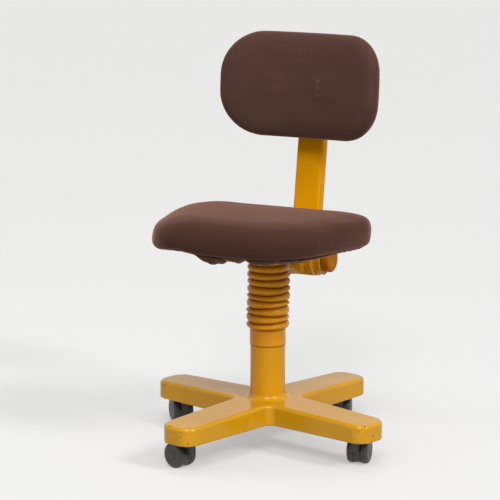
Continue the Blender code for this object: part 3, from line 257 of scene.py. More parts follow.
def grid_faces(rows, columns, rows_close=False, columns_close=True):
    """Four-sided faces between neighbouring rows of points."""
    faces = []
    for r in range(rows if rows_close else rows - 1):
        n = (r + 1) % rows
        for i in range(columns if columns_close else columns - 1):
            j = (i + 1) % columns
            faces.append((r * columns + i, r * columns + j, n * columns + j, n * columns + i))
    return faces


def prism(name, outline, low, high):
    count = len(outline)
    points = [(x, y, height) for height in (low, high) for x, y in outline]
    caps = [tuple(range(count))[::-1], tuple(range(count, 2 * count))]
    return tidy_normals(mesh_object(name, points, caps + grid_faces(2, count)))


def side_lengths(loop):
    return [(loop[(i + 1) % len(loop)] - loop[i]).length for i in range(len(loop))]


def rounded_outline(corners, inset, count):
    """Evenly spaced points round the tight loop over corner circles, moved inwards."""
    samples = 720
    loop = []
    for i in range(samples):
        angle = math.tau * i / samples
        way = Vector((math.cos(angle), math.sin(angle)))
        x, y, radius = max(corners, key=lambda c: c[0] * way.x + c[1] * way.y + c[2])
        loop.append(Vector((x, y)) + way * (radius - inset))
    lengths = side_lengths(loop)
    total = sum(lengths)
    points = []
    walked = 0.0
    i = 0
    for k in range(count):
        target = total * k / count
        while walked + lengths[i] < target:
            walked += lengths[i]
            i += 1
        points.append(loop[i].lerp(loop[(i + 1) % samples], (target - walked) / lengths[i]))
    return points


def lofted(name, rings, first_centre, last_centre):
    """A closed skin over rings of points, with a fan over each end."""
    count = len(rings[0])
    points = [p for ring in rings for p in ring]
    faces = grid_faces(len(rings), count)
    last = (len(rings) - 1) * count
    for start, centre, flip in ((0, first_centre, True), (last, last_centre, False)):
        tip = len(points)
        points.append(centre)
        for i in range(count):
            a, b = start + i, start + (i + 1) % count
            faces.append((b, a, tip) if flip else (a, b, tip))
    return tidy_normals(mesh_object(name, points, faces), 60)


# Materials


# The factor and the two colours among a mix node's inputs, and its colour among the outputs
MIX_INPUTS = (0, 6, 7)
MIX_COLOUR = 2
CHIPPED_FROM = 0.215
CHIPPED_TO = 0.262


def put(tree, value, socket):
    """Joins an output to an input, or gives the input a value of its own."""
    if isinstance(value, bpy.types.NodeSocket):
        tree.links.new(value, socket)
    else:
        socket.default_value = value


class Graph:
    """A material's node tree with short ways to add and join nodes."""

    def __init__(self, name):
        self.material = bpy.data.materials.new(name)
        self.material.use_nodes = True
        self.tree = self.material.node_tree
        self.shader = self.tree.nodes["Principled BSDF"]
        self.coordinates = self.add("ShaderNodeTexCoord").outputs["Object"]

    def add(self, kind, **values):
        node = self.tree.nodes.new(kind)
        for key, value in values.items():
            setattr(node, key, value)
        return node

    def feed(self, node, **inputs):
        """Sets or joins a node's inputs by name, with underscores for spaces."""
        for key, value in inputs.items():
            put(self.tree, value, node.inputs[key.replace("_", " ")])
        return node

    def noise(self, scale, detail=3.0, roughness=0.55, vector=None):
        node = self.add("ShaderNodeTexNoise")
        self.feed(node, Scale=scale, Detail=detail, Roughness=roughness, Vector=vector or self.coordinates)
        return node.outputs["Fac"]

    def stripes(self, direction, scale, wander):
        node = self.add("ShaderNodeTexWave", wave_type="BANDS", bands_direction=direction)
        self.feed(node, Scale=scale, Distortion=wander, Detail=2.0, Vector=self.coordinates)
        return node.outputs["Fac"]

    def attribute(self, name):
        return self.add("ShaderNodeAttribute", attribute_name=name).outputs["Fac"]

    def ramp(self, value, low, high, start=(0, 0, 0, 1), end=(1, 1, 1, 1)):
        node = self.feed(self.add("ShaderNodeValToRGB"), Fac=value)
        node.color_ramp.elements[0].position = low
        node.color_ramp.elements[1].position = high
        node.color_ramp.elements[0].color = start
        node.color_ramp.elements[1].color = end
        return node.outputs["Color"]

    def mix(self, share, first, second):
        node = self.add("ShaderNodeMix", data_type="RGBA")
        for index, value in zip(MIX_INPUTS, (share, first, second)):
            put(self.tree, value, node.inputs[index])
        return node.outputs[MIX_COLOUR]

    def math(self, operation, first, second):
        node = self.add("ShaderNodeMath", operation=operation)
        put(self.tree, first, node.inputs[0])
        put(self.tree, second, node.inputs[1])
        return node.outputs[0]

    def bump(self, height, strength, distance, **normal):
        node = self.add("ShaderNodeBump")
        self.feed(node, Strength=strength, Distance=distance, Height=height, **normal)
        return node.outputs["Normal"]

    def scaled(self, factors):
        node = self.feed(self.add("ShaderNodeMapping"), Scale=factors, Vector=self.coordinates)
        return node.outputs["Vector"]


def colour(red, green, blue):
    return (red, green, blue, 1.0)


def grey(level):
    return colour(level, level, level)


def shade(tint, factors, lift=(0.0, 0.0, 0.0)):
    """A tint with its channels scaled and then raised."""
    return colour(*(value * factor + rise for value, factor, rise in zip(tint, factors, lift)))


def enamel(name, tint, gloss=0.16, chips=False):
    """Glossy sprayed enamel with a faint orange peel, grime, and chips towards the arm tips."""
    g = Graph(name)
    cloud = g.ramp(g.noise(9.0, 4.0), 0.35, 0.7)
    base = g.mix(cloud, shade(tint, (0.94, 0.92, 0.8)), colour(*tint))
    streak = g.ramp(g.noise(1.0, 2.0, 0.5, g.scaled((60.0, 60.0, 9.0))), 0.62, 0.85)
    base = g.mix(streak, base, shade(tint, (0.82, 0.76, 0.7)))
    rough = g.ramp(g.noise(35.0, 4.0), 0.3, 0.8, grey(0.08), grey(0.17))
    if chips:
        far = g.add("ShaderNodeVectorMath", operation="LENGTH")
        put(g.tree, g.coordinates, far.inputs[0])
        tips = g.ramp(far.outputs["Value"], CHIPPED_FROM, CHIPPED_TO)
        near = g.math("MULTIPLY", g.ramp(g.noise(16.0, 2.0), 0.44, 0.56), tips)
        worn = g.math("MULTIPLY", g.ramp(g.noise(130.0, 5.0, 0.65), 0.60, 0.64), near)
        base = g.mix(worn, base, colour(0.085, 0.036, 0.012))
        rough = g.mix(worn, rough, grey(0.6))
    peel = g.bump(g.noise(260.0, 2.0), 0.03, 0.0004)
    g.feed(g.shader, Base_Color=base, Roughness=rough, Specular_IOR_Level=gloss, Normal=peel)
    return g.material


def rubber(name, tint):
    """Satin rubber, a little cloudy, with painted shade darkening it in the folds."""
    g = Graph(name)
    cloud = g.ramp(g.noise(28.0, 4.0), 0.3, 0.75)
    base = g.mix(cloud, shade(tint, (0.86, 0.82, 0.8)), colour(*tint))
    # Painted shade: darker in the fold valleys and creases, as the mesh's attribute gives
    base = g.mix(g.attribute("fold_shade"), base, shade(tint, (0.38, 0.28, 0.3)))
    rough = g.ramp(g.noise(60.0, 3.0), 0.3, 0.8, grey(0.22), grey(0.36))
    skin = g.bump(g.noise(260.0, 3.0), 0.12, 0.0005)
    g.feed(g.shader, Base_Color=base, Roughness=rough, Specular_IOR_Level=0.22, Normal=skin)
    return g.material


def plastic(name, tint, roughness=0.42):
    """Moulded plastic with a fine grain, scuffs and dust."""
    g = Graph(name)
    dust = g.ramp(g.noise(22.0, 4.0), 0.45, 0.8)
    base = g.mix(dust, colour(*tint), shade(tint, (1.35, 1.33, 1.25), (0.006, 0.006, 0.005)))
    scuff = g.ramp(g.noise(1.0, 5.0, 0.6, g.scaled((140.0, 30.0, 60.0))), 0.58, 0.78)
    base = g.mix(scuff, base, shade(tint, (1.5, 1.5, 1.4), (0.01, 0.01, 0.01)))
    rough = g.ramp(g.noise(40.0, 3.0), 0.3, 0.8, grey(roughness - 0.06), grey(roughness + 0.12))
    grain = g.bump(g.noise(900.0, 2.0), 0.1, 0.0003)
    g.feed(g.shader, Base_Color=base, Roughness=rough, Normal=grain)
    return g.material


def steel(name, tint, roughness):
    """Zinc-plated steel with fine brushing and dull patches."""
    g = Graph(name)
    dull = g.ramp(g.noise(45.0, 4.0), 0.35, 0.8)
    base = g.mix(dull, colour(*tint), shade(tint, (0.72, 0.7, 0.68)))
    brushed = g.noise(1.0, 2.0, 0.5, g.scaled((900.0, 900.0, 60.0)))
    rough = g.ramp(brushed, 0.3, 0.7, grey(roughness - 0.08), grey(roughness + 0.12))
    g.feed(g.shader, Base_Color=base, Roughness=rough, Metallic=1.0)
    return g.material


def plywood(name):
    """Birch ply: long grain and dark pores."""
    g = Graph(name)
    grain = g.noise(1.0, 6.0, 0.6, g.scaled((18.0, 240.0, 240.0)))
    base = g.mix(g.ramp(grain, 0.3, 0.75), colour(0.30, 0.17, 0.08), colour(0.47, 0.30, 0.16))
    pores = g.noise(1.0, 3.0, 0.6, g.scaled((60.0, 900.0, 900.0)))
    base = g.mix(g.ramp(pores, 0.62, 0.75), base, colour(0.17, 0.09, 0.04))
    g.feed(g.shader, Base_Color=base, Roughness=0.62, Normal=g.bump(grain, 0.15, 0.0006))
    return g.material


def cloth(name, tint):
    """Fine stretch jersey: knitted rows, soft nap, faded areas, a little lint, rubbed marks and a painted
    highlight band.
    """
    g = Graph(name)
    fade = g.ramp(g.noise(7.0, 4.0, 0.6), 0.3, 0.75)
    base = g.mix(fade, shade(tint, (0.86, 0.84, 0.84)), shade(tint, (1.08, 1.08, 1.08)))
    mottle = g.ramp(g.noise(160.0, 3.0), 0.35, 0.7)
    base = g.mix(mottle, base, shade(tint, (1.16, 1.14, 1.14)))
    knit = g.math("MULTIPLY", g.stripes("X", 260.0, 1.6), g.stripes("DIAGONAL", 210.0, 2.2))
    base = g.mix(g.ramp(knit, 0.0, 0.6), shade(tint, (0.84, 0.82, 0.82)), base)
    lint = g.feed(g.add("ShaderNodeTexVoronoi"), Scale=26.0, Vector=g.coordinates)
    chosen = g.feed(g.add("ShaderNodeSeparateColor"), Color=lint.outputs["Color"])
    few = g.math("GREATER_THAN", chosen.outputs["Red"], 0.93)
    speck = g.math("MULTIPLY", g.math("LESS_THAN", lint.outputs["Distance"], 0.035), few)
    base = g.mix(speck, base, colour(0.30, 0.25, 0.22))
    # Lighter where rubbed, and along the back pad's right edge as a painted highlight
    base = g.mix(g.attribute("rub_and_sheen"), base, shade(tint, (1.9, 2.0, 2.0), (0.02, 0.01, 0.01)))
    nap = g.bump(g.noise(520.0, 3.0), 0.10, 0.0006)
    g.feed(g.shader, Base_Color=base, Normal=g.bump(knit, 0.16, 0.0005, Normal=nap))
    g.feed(g.shader, Roughness=0.9, Sheen_Weight=0.5, Sheen_Roughness=0.4)
    g.feed(g.shader, Sheen_Tint=colour(1.0, 0.53, 0.41), Specular_IOR_Level=0.1)
    return g.material


SLOTS = {
    # The base's enamel is a darker copy of the mustard, which is painted shade, and a little yellower in hue
    "mustard_cast": enamel("mustard_enamel_chipped_shaded", (0.585, 0.285, 0.004), gloss=0.26, chips=True),
    "mustard_paint": enamel("mustard_enamel", (0.640, 0.297, 0.003)),
    "ochre_bellows": rubber("ochre_rubber", (0.77, 0.322, 0.003)),
    "charcoal_plastic": plastic("charcoal_plastic", (0.034, 0.034, 0.032)),
    "brown_cloth": cloth("brown_jersey", (0.051, 0.0217, 0.0149)),
    "plywood": plywood("birch_ply"),
    "dark_shell": plastic("dark_shell", (0.030, 0.021, 0.017), 0.5),
    "nylon": plastic("natural_nylon", (0.62, 0.60, 0.53), 0.5),
    "steel": steel("zinc_steel", (0.56, 0.56, 0.57), 0.3),
}
# The upright's copy of the mustard enamel is lighter: painted light; it is also less glossy
PAINT_UPRIGHT_LIT = enamel("mustard_enamel_upright_lit", (0.720, 0.300, 0.001), gloss=0.02)
# The knob's copy of the mustard enamel is darker and redder: painted shade
PAINT_KNOB_SHADED = enamel("mustard_enamel_knob_shaded", (0.430, 0.140, 0.001), gloss=0.02)
# A lighter copy of the brown jersey for the back pad and the hems: painted light
CLOTH_LIT = cloth("brown_jersey_lit", (0.073, 0.0355, 0.0275))


def coat(obj, slot):
    obj.data.materials.clear()
    obj.data.materials.append(SLOTS[slot])


def dress(obj, slot):
    coat(obj, slot)
    return obj


for part in frame["record"]["subparts"]:
    coat(nodes[part["node"]], part["material_slot"])


# Base and column


def arm_half(along):
    share = (along - ARM_ROOT) / (ARM_REACH - ARM_ROOT)
    return ARM_ROOT_HALF + (ARM_TIP_HALF - ARM_ROOT_HALF) * share


def base_outline():
    taper = math.atan((ARM_ROOT_HALF - ARM_TIP_HALF) / (ARM_REACH - ARM_ROOT))
    steps = 14
    tip_x = ARM_REACH - TIP_RADIUS
    tip_y = arm_half(tip_x) - TIP_RADIUS / math.cos(taper)
    crotch = math.sqrt(2) * (arm_half(0.0) + CROTCH_RADIUS / math.cos(taper)) / (1 + math.tan(taper))
    centre = (crotch / math.sqrt(2), crotch / math.sqrt(2))
    quarter = arc((tip_x, -tip_y), TIP_RADIUS, taper - math.pi / 2, 0.0, steps)
    quarter += arc((tip_x, tip_y), TIP_RADIUS, 0.0, math.pi / 2 - taper, steps)
    quarter += arc(centre, CROTCH_RADIUS, 1.5 * math.pi - taper, math.pi + taper, steps)
    outline = []
    for angle in ARM_TURNS:
        turn = Matrix.Rotation(angle, 2)
        outline += [turn @ Vector(point) for point in quarter]
    return outline


def build_base():
    """The cast cross: smooth arms, softened edges, pockets beneath and a fillet up to the column."""
    base = prism("base_cross", [tuple(p) for p in base_outline()], BASE_UNDER, HUB_TOP)
    form = bmesh.new()
    form.from_mesh(base.data)
    fall = (HUB_TOP - TIP_TOP) / (ARM_REACH - ARM_ROOT)
    for angle in ARM_TURNS:
        way = Vector((math.cos(angle), math.sin(angle), 0.0))
        everything = form.verts[:] + form.edges[:] + form.faces[:]
        bmesh.ops.bisect_plane(form, geom=everything, plane_co=way * ARM_ROOT, plane_no=way)
        for vert in form.verts:
            beyond = vert.co.dot(way) - ARM_ROOT
            if beyond > 0 and vert.co.z > HUB_TOP - GAP:
                vert.co.z -= fall * beyond
    weights = form.edges.layers.float.new("bevel_weight_edge")
    middle = (BASE_UNDER + TIP_TOP) / 2
    for edge in form.edges:
        level = [abs(face.normal.z) > 0.5 for face in edge.link_faces]
        if level.count(True) == 1:
            edge[weights] = 1.0 if edge.verts[0].co.z > middle else BASE_LOWER_EDGE
    form.to_mesh(base.data)
    form.free()
    modified(base, "BEVEL", width=BASE_EDGE, segments=6, limit_method="WEIGHT")
    lip = TUBE_R + GAP + FOOT_LIP
    foot = [(0.0, HUB_TOP + FOOT_FILLET)]
    foot += arc((lip + FOOT_FILLET, HUB_TOP + FOOT_FILLET), FOOT_FILLET, math.pi, 1.5 * math.pi, 12)
    foot += [(lip + FOOT_FILLET, HUB_TOP - BASE_WALL), (0.0, HUB_TOP - BASE_WALL)]
    boolean(base, turned("foot", foot, FINE_ROUND), "UNION")
    below = BASE_UNDER - BASE_WALL
    nut_seat = HUB_FLOOR - BASE_WALL
    boolean(base, peg("bore", TUBE_R + GAP, HUB_FLOOR, BASE_HIGH.z + BASE_WALL, FINE_ROUND))
    boolean(base, peg("rod_hole", ROD_R + GAP, below, HUB_FLOOR + BASE_WALL, TINY_ROUND))
    boolean(base, peg("nut_recess", NUT_RECESS_R, below, nut_seat, SMALL_ROUND))
    start = ARM_ROOT + BASE_WALL
    near, far = arm_half(start) - BASE_WALL, arm_half(POCKET_END) - BASE_WALL
    pocket = [(start, -near), (POCKET_END, -far), (POCKET_END, far), (start, near)]
    for angle in ARM_TURNS:
        turn = Matrix.Rotation(angle, 4, "Z")
        boolean(base, placed(prism("pocket", pocket, below, TIP_TOP - BASE_WALL), turn))
        stem = turn @ Matrix.Translation((CASTER_REACH, 0, 0))
        socket = peg("socket", SOCKET_R, below, SOCKET_HIGH.z + GAP, TINY_ROUND)
        boolean(base, placed(socket, stem))
    even_normals(base, 28)
    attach(dress(base, "mustard_cast"), "base")
    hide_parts("base")
    inner = TUBE_R - TUBE_WALL
    low, high = TUBE_LOW.z, TUBE_HIGH.z
    wall = [(TUBE_R, high), (TUBE_R, low), (inner, low), (inner, high)]
    tube = turned("column_sleeve", wall, FINE_ROUND)
    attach(dress(tube, "mustard_paint"), "base")
    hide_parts("column_tube")


# Height of each fold above its even place, across the sleeve and towards the front
FOLD_TILTS = [
    (0.0, 0.0),
    (0.0016, -0.0010),
    (-0.0024, -0.0006),
    (0.0022, 0.0010),
    (-0.0026, 0.0008),
    (0.0020, -0.0010),
    (-0.0012, 0.0004),
    (0.0006, 0.0003),
    (-0.0004, -0.0003),
    (0.0003, 0.0002),
    (0.0, 0.0),
]
ACROSS = math.radians(26)
SLEEVE_LEAN = 0.0018
CROOKED_FOLDS = 7
CROOKED_SLACK = 0.0009
EVEN_SLACK = 0.0002
RIB_ROUND = 0.62
RIB_WAVER = 0.0006
RIB_BULGE = (-0.0007, 0.0003)
CUFF_LIP = 0.0016
# Painted shade at the cuff's lip creases and inside the sleeve
CREASE_SHADE = 0.9


def ring_noise(angle, reach, layer):
    """Noise that closes round a ring and wavers faster with a longer reach."""
    return noise.noise(Vector((reach * math.cos(angle), reach * math.sin(angle), layer)))


def fold_rise(k, angle):
    across, forward = FOLD_TILTS[k]
    rise = across * math.cos(angle - ACROSS) - forward * math.sin(angle - ACROSS)
    if 0 < k < RIB_COUNT:
        slack = CROOKED_SLACK if k < CROOKED_FOLDS else EVEN_SLACK
        rise += slack * ring_noise(angle, 1.6, 7.3 * k)
    return rise


def bellows_profile():
    """Height, lift of the rib, painted shade of the fold, rib and place in it, from the top down."""
    samples = 12
    profile = [(LIFT_TOP, 0.0, 0.0, RIB_COUNT, 0.0)]
    for k in reversed(range(RIB_COUNT)):
        for s in range(samples):
            share = 1 - s / samples
            lift = math.sin(math.pi * share) ** RIB_ROUND if 0 < share < 1 else 0.0
            profile.append((RIBS_FOOT + (k + share) * RIB_PITCH, lift, (1.0 - lift) ** 0.8, k, share))
    # The cuff gets deep painted shade at its lip creases and a little painted shade over its plain band
    cuff = [(RIBS_FOOT, CREASE_SHADE), (RIBS_FOOT - 2 * CUFF_LIP, 0.20)]
    cuff += [(CUFF_FOOT + 2 * CUFF_LIP, 0.16), (CUFF_FOOT + CUFF_LIP, CREASE_SHADE)]
    return profile + [(height, 0.0, fold_shade, 0, 0.0) for height, fold_shade in cuff]


def build_bellows():
    """The ribbed rubber sleeve: even ribs above, crowded and crooked below, a cuff at each end."""
    bore = TUBE_R + GAP
    valley = bore + CUFF_WALL
    crest = BELLOWS_HIGH.x
    profile = bellows_profile()
    bulges = [rng.uniform(*RIB_BULGE) for _ in range(RIB_COUNT + 1)]
    angles = [math.tau * i / FINE_ROUND for i in range(FINE_ROUND)]
    points, fold_shades = [], []
    tube_top, collar = TUBE_HIGH.z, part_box("bellows_collar")[0].z
    for height, lift, fold_shade, k, share in profile:
        lean = smooth_step(height, tube_top, tube_top + 3 * RIB_PITCH)
        lean *= SLEEVE_LEAN * (1 - smooth_step(height, collar - RIB_PITCH, collar))
        fold_shades += [fold_shade] * FINE_ROUND
        for angle in angles:
            waver = RIB_WAVER * ring_noise(angle, 2.2, 9.0 * k)
            radius = valley + (crest - valley + bulges[k] + waver) * lift
            rise = 0.0
            if RIBS_FOOT < height < RIBS_TOP:
                rise = (1 - share) * fold_rise(k, angle) + share * fold_rise(k + 1, angle)
            x = radius * math.cos(angle) + lean * math.cos(ACROSS)
            y = radius * math.sin(angle) + lean * math.sin(ACROSS)
            points.append((x, y, height + rise))
    inner = [(CUFF_FOOT, valley - 0.5 * CUFF_WALL), (CUFF_FOOT, bore), (LIFT_TOP, bore)]
    for height, radius in inner:
        points += circle(radius, height, FINE_ROUND)
        fold_shades += [CREASE_SHADE] * FINE_ROUND
    faces = grid_faces(len(profile) + len(inner), FINE_ROUND, rows_close=True)
    sleeve = mesh_object("bellows_sleeve", points, faces)
    # Painted shade, stored for the rubber: dark in the valleys between ribs, at the creases and inside
    attribute = sleeve.data.attributes.new("fold_shade", "FLOAT", "POINT")
    attribute.data.foreach_set("value", fold_shades)
    tidy_normals(sleeve, 70)
    dress(sleeve, "ochre_bellows")
    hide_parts("bellows")
    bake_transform(sleeve)


# The wheel's outer face from its middle outwards: radius and depth below the hub
WHEEL_FACE = [(0.0, 0.0), (0.0095, 0.0001), (0.0102, 0.0006), (0.0109, 0.0003), (0.0150, 0.0002)]
WHEEL_BACK_EDGE = 0.0015


def wheel_form():
    """A moulded wheel: domed face with a shallow ring, rounded shoulder and a flat tread."""
    width, edge, back = WHEEL_WIDTH, WHEEL_EDGE, WHEEL_BACK_EDGE
    profile = [(radius, width - depth) for radius, depth in WHEEL_FACE]
    profile += arc((WHEEL_R - edge, width - edge), edge, math.radians(84), 0.0, 10)
    profile += arc((WHEEL_R - back, back), back, 0.0, -math.pi / 2, 4)
    profile += [(AXLE_R + GAP, 0.0), (AXLE_R + GAP, width - AXLE_COVER), (0.0, width - AXLE_COVER)]
    return profile


def build_casters():
    """Twin wheels on each caster's axle, facing outwards."""
    profile = wheel_form()
    for corner in CORNERS:
        left = joint(f"roll_{corner}_left")
        axle = frame_at(left["pos_m"], math.atan2(-left["axis"][0], left["axis"][1]), "Z")
        for side, name in ((1, "left"), (-1, "right")):
            seat = Matrix.Translation((0.0, side * (WEB / 2 + RUN), 0.0))
            facing = Matrix.Rotation(-side * math.pi / 2, 4, "X")
            wheel = placed(turned(f"wheel_{corner}_{name}", profile), axle @ seat @ facing)
            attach(dress(wheel, "charcoal_plastic"), f"wheel_{corner}_{name}")
            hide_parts(f"caster_wheel_{corner}_{name}")


# Fabric

CLOTH_VOXEL = 0.0045
CLOTH_PRESSURE = 4.0
CLOTH_FRAMES = 20
CLOTH_THICKNESS = 0.0008
CALM_ROUNDS = 16
CALM_KEPT = 0.3


def simulate(obj, pinned, most):
    """Swells a cushion as cloth under a little pressure, with its underside held."""
    obj.data.remesh_voxel_size = CLOTH_VOXEL
    for other in bpy.context.selected_objects:
        other.select_set(False)
    obj.select_set(True)
    bpy.context.view_layer.objects.active = obj
    bpy.ops.object.voxel_remesh()
    rest = points_of(obj)
    group = obj.vertex_groups.new(name="held")
    group.add([v.index for v in obj.data.vertices if pinned(v.co)], 1.0, "REPLACE")
    cloth_modifier = obj.modifiers.new("cloth", "CLOTH")
    settings = cloth_modifier.settings
    settings.quality = 5
    settings.mass = 0.3
    settings.tension_stiffness = 12
    settings.compression_stiffness = 12
    settings.bending_stiffness = 0.8
    settings.use_pressure = True
    settings.uniform_pressure_force = CLOTH_PRESSURE
    settings.effector_weights.gravity = 0.0
    settings.vertex_group_mass = "held"
    for step in range(1, CLOTH_FRAMES + 1):
        scene.frame_set(step)
    graph = bpy.context.evaluated_depsgraph_get()
    moved = np.array([v.co for v in obj.evaluated_get(graph).data.vertices])
    obj.modifiers.remove(cloth_modifier)
    scene.frame_set(1)
    outward = np.array([v.normal for v in obj.data.vertices])
    swell = np.clip(np.sum((moved - rest) * outward, axis=1, keepdims=True), 0.0, most)
    shift = outward * swell
    ends = np.array([e.vertices[:] for e in obj.data.edges])
    neighbours = np.bincount(ends.ravel(), minlength=len(rest))[:, None]
    for _ in range(CALM_ROUNDS):
        total = np.zeros_like(shift)
        np.add.at(total, ends[:, 0], shift[ends[:, 1]])
        np.add.at(total, ends[:, 1], shift[ends[:, 0]])
        shift = CALM_KEPT * shift + (1 - CALM_KEPT) * total / np.maximum(neighbours, 1)
    move_points(obj, rest + shift)
    obj.vertex_groups.clear()


def soften(obj, rounds):
    """Relaxes a swollen cushion and then divides its mesh finer."""
    modified(obj, "SMOOTH", factor=0.5, iterations=rounds)
    modified(obj, "SUBSURF", levels=1, render_levels=1)
    obj.data.shade_smooth()


def fitted(obj, low, high):
    """Stretches a relaxed piece so that it fills its box again; a side given as None is left alone."""
    points = points_of(obj)
    for axis in range(3):
        if low[axis] is None:
            continue
        bottom, top = points[:, axis].min(), points[:, axis].max()
        points[:, axis] = low[axis] + (points[:, axis] - bottom) * (high[axis] - low[axis]) / (top - bottom)
    move_points(obj, points)


def bulged(share, power):
    """Across and up a rounded shoulder, a little squarer than a circle."""
    angle = share * math.pi / 2
    return 1 - math.cos(angle) ** (2 / power), math.sin(angle) ** (2 / power)


SEAT_REAR = 0.088
SEAT_FRONT = 0.227
SEAT_REAR_HALF = 0.191
SEAT_FRONT_HALF = 0.165
SEAT_REAR_R = 0.064
SEAT_FRONT_R = 0.105
SEAT_BOW = 0.022
SEAT_MIDDLE = -0.07
SIDE_BOW = 0.030
SIDE_BOW_HALF = 0.10
SEAT_CORNERS = [
    (SEAT_REAR_HALF - SEAT_REAR_R, SEAT_REAR - SEAT_REAR_R, SEAT_REAR_R),
    (SEAT_REAR_R - SEAT_REAR_HALF, SEAT_REAR - SEAT_REAR_R, SEAT_REAR_R),
    (SEAT_FRONT_R - SEAT_FRONT_HALF, SEAT_FRONT_R - SEAT_FRONT, SEAT_FRONT_R),
    (SEAT_FRONT_HALF - SEAT_FRONT_R, SEAT_FRONT_R - SEAT_FRONT, SEAT_FRONT_R),
]
PAN_INSET = 0.016
COVER_FOOT = -0.0048
COVER_WAIST = 0.0100
SHOULDER_FOOT = 0.0180
SHOULDER_TOP = 0.0556
SHOULDER_ROUND = 0.027
SHOULDER_POWER = 2.6
FRONT_ROUND = 0.039
FRONT_POWER = 2.1
FRONT_FROM = 0.02
FRONT_TO = 0.16
COVER_TOP = 0.0602
COVER_FLOOR = 0.0115
COVER_INNER = 0.060
COVER_TUCK = PAN_INSET + 0.015
COVER_TURN = 0.003
COVER_RIM = 0.015
COVER_LEAN = 0.12
COVER_SWELL = 0.005
CROWN_SHARES = (0.08, 0.18, 0.3, 0.45, 0.6, 0.75, 0.9)
RIM_ROUND = 0.014
RIM_SAG = 0.0026
DRAWN_AT = -0.076
DRAWN_HALF = 0.032
DRAWN_UP = 0.0082
DRAWN_FROM = 0.12
DRAWN_TO = 0.18


def seat_loop(inset, count):
    """The seat's outline, with its front and side edges bowed."""
    loop = []
    for p in rounded_outline(SEAT_CORNERS, inset, count):
        bow = SEAT_BOW * max(0.0, 1 - (p.x / SEAT_FRONT_HALF) ** 2) if p.y < 0 else 0.0
        spread = SIDE_BOW * max(0.0, 1 - ((p.y - SEAT_MIDDLE) / SIDE_BOW_HALF) ** 2)
        loop.append(Vector((p.x * (1 + spread), p.y * (1 + bow))))
    return loop


def shoulder_ring(share, count):
    """One ring up the cushion's shoulder, which is softer along the front than behind."""
    firm_across, firm_up = bulged(share, SHOULDER_POWER)
    soft_across, soft_up = bulged(share, FRONT_POWER)
    firm = seat_loop(SHOULDER_ROUND * firm_across, count)
    soft = seat_loop(FRONT_ROUND * soft_across, count)
    ring = []
    for p, q in zip(firm, soft):
        front = smooth_step(-p.y, FRONT_FROM, FRONT_TO)
        flat = p.lerp(q, front)
        up = firm_up + (soft_up - firm_up) * front
        ring.append((flat.x, flat.y, SHOULDER_FOOT + (SHOULDER_TOP - SHOULDER_FOOT) * up))
    return ring


def drawn_up(x, y):
    """How far the elastic draws the rim up beside the slack folds."""
    near = math.exp(-(((x - DRAWN_AT) / DRAWN_HALF) ** 2))
    return DRAWN_UP * near * smooth_step(-y, DRAWN_FROM, DRAWN_TO)


def seat_set(x, y, z):
    """Leans the cushion's top to +X, lets the rim sag towards -X and draws it up in front."""
    low = min(1.0, max(0.0, COVER_WAIST - z) / (COVER_WAIST - COVER_FOOT))
    rise = low * (RIM_SAG * x / SEAT_REAR_HALF + drawn_up(x, y))
    return x + COVER_LEAN * max(0.0, z - COVER_WAIST), y, z + rise


def build_seat():
    """The padded seat: tucked under the pan, rounded at its rim and shoulder, a little crowned."""
    count, rim_steps, shoulder_steps = 160, 7, 12
    bottom = min(v.co.z + v.co.y * math.tan(SEAT_TILT) for v in nodes["seat_pan"].data.vertices)
    place = frame_at((0.0, 0.0, bottom - GAP), -SEAT_TILT)
    profile = [(COVER_INNER, COVER_FLOOR), (COVER_TUCK + COVER_TURN, COVER_FLOOR)]
    profile += [(COVER_TUCK, COVER_FOOT + COVER_TURN), (COVER_RIM, COVER_FOOT)]
    for step in range(1, rim_steps + 1):
        angle = step / rim_steps * math.pi / 2
        height = COVER_FOOT + (COVER_WAIST - COVER_FOOT) * (1 - math.cos(angle))
        profile.append((RIM_ROUND * (1 - math.sin(angle)), height))
    profile.append((0.0, (COVER_WAIST + SHOULDER_FOOT) / 2))
    rings = [[(p.x, p.y, height) for p in seat_loop(inset, count)] for inset, height in profile]
    rings += [shoulder_ring(step / shoulder_steps, count) for step in range(shoulder_steps + 1)]
    middle = Vector((0.0, SEAT_MIDDLE, SHOULDER_TOP))
    edge = rings[-1]
    for share in CROWN_SHARES:
        rise = (COVER_TOP - SHOULDER_TOP) * (1 - (1 - share) ** 2)
        level = [Vector(p).lerp(middle, share) for p in edge]
        rings.append([(p.x, p.y, p.z + rise) for p in level])
    rings = [[seat_set(*p) for p in ring] for ring in rings]
    cover = lofted("seat_cover", rings, (0, middle.y, COVER_FLOOR), (0, middle.y, COVER_TOP))
    sizes = points_of(cover)
    simulate(cover, lambda p: p.z < COVER_WAIST, COVER_SWELL)
    soften(cover, 3)
    fitted(cover, sizes.min(axis=0), sizes.max(axis=0))
    placed(cover, place)
    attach(dress(cover, "brown_cloth"), "seat")
    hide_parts("seat_cushion")
    build_seat_hem(place)


# Slack bunches of the hem along the front: place across, half width and depth
SLACK_FOLDS = [
    (-0.017, 0.034, 0.0155),
    (0.030, 0.025, 0.0085),
    (0.084, 0.031, 0.0105),
    (0.121, 0.014, 0.0088),
    (0.140, 0.012, 0.0082),
    (0.156, 0.010, 0.0064),
    (-0.064, 0.014, 0.0042),
    (-0.094, 0.013, 0.0030),
    (-0.118, 0.013, 0.0026),
    (-0.142, 0.012, 0.0020),
]
# The hem's edges, its gathers and their fullness, and how it hangs
HEM_OUTER = 0.0120
HEM_INNER = PAN_INSET + 0.036
HEM_GATHERS = (61, 103)
HEM_WANDER = 2.6
HEM_CRIMP = 0.0011
HEM_DROP = 0.0034
HEM_HANG = 0.0020
HEM_SKEW = 0.014
HEM_CREASE = 0.22
HEM_SWAY = 0.2
HEM_DRAWN = 0.6
HEM_CEILING = -0.0006
LEAST_CRIMP = 0.0003
LANE_SCALE = 26


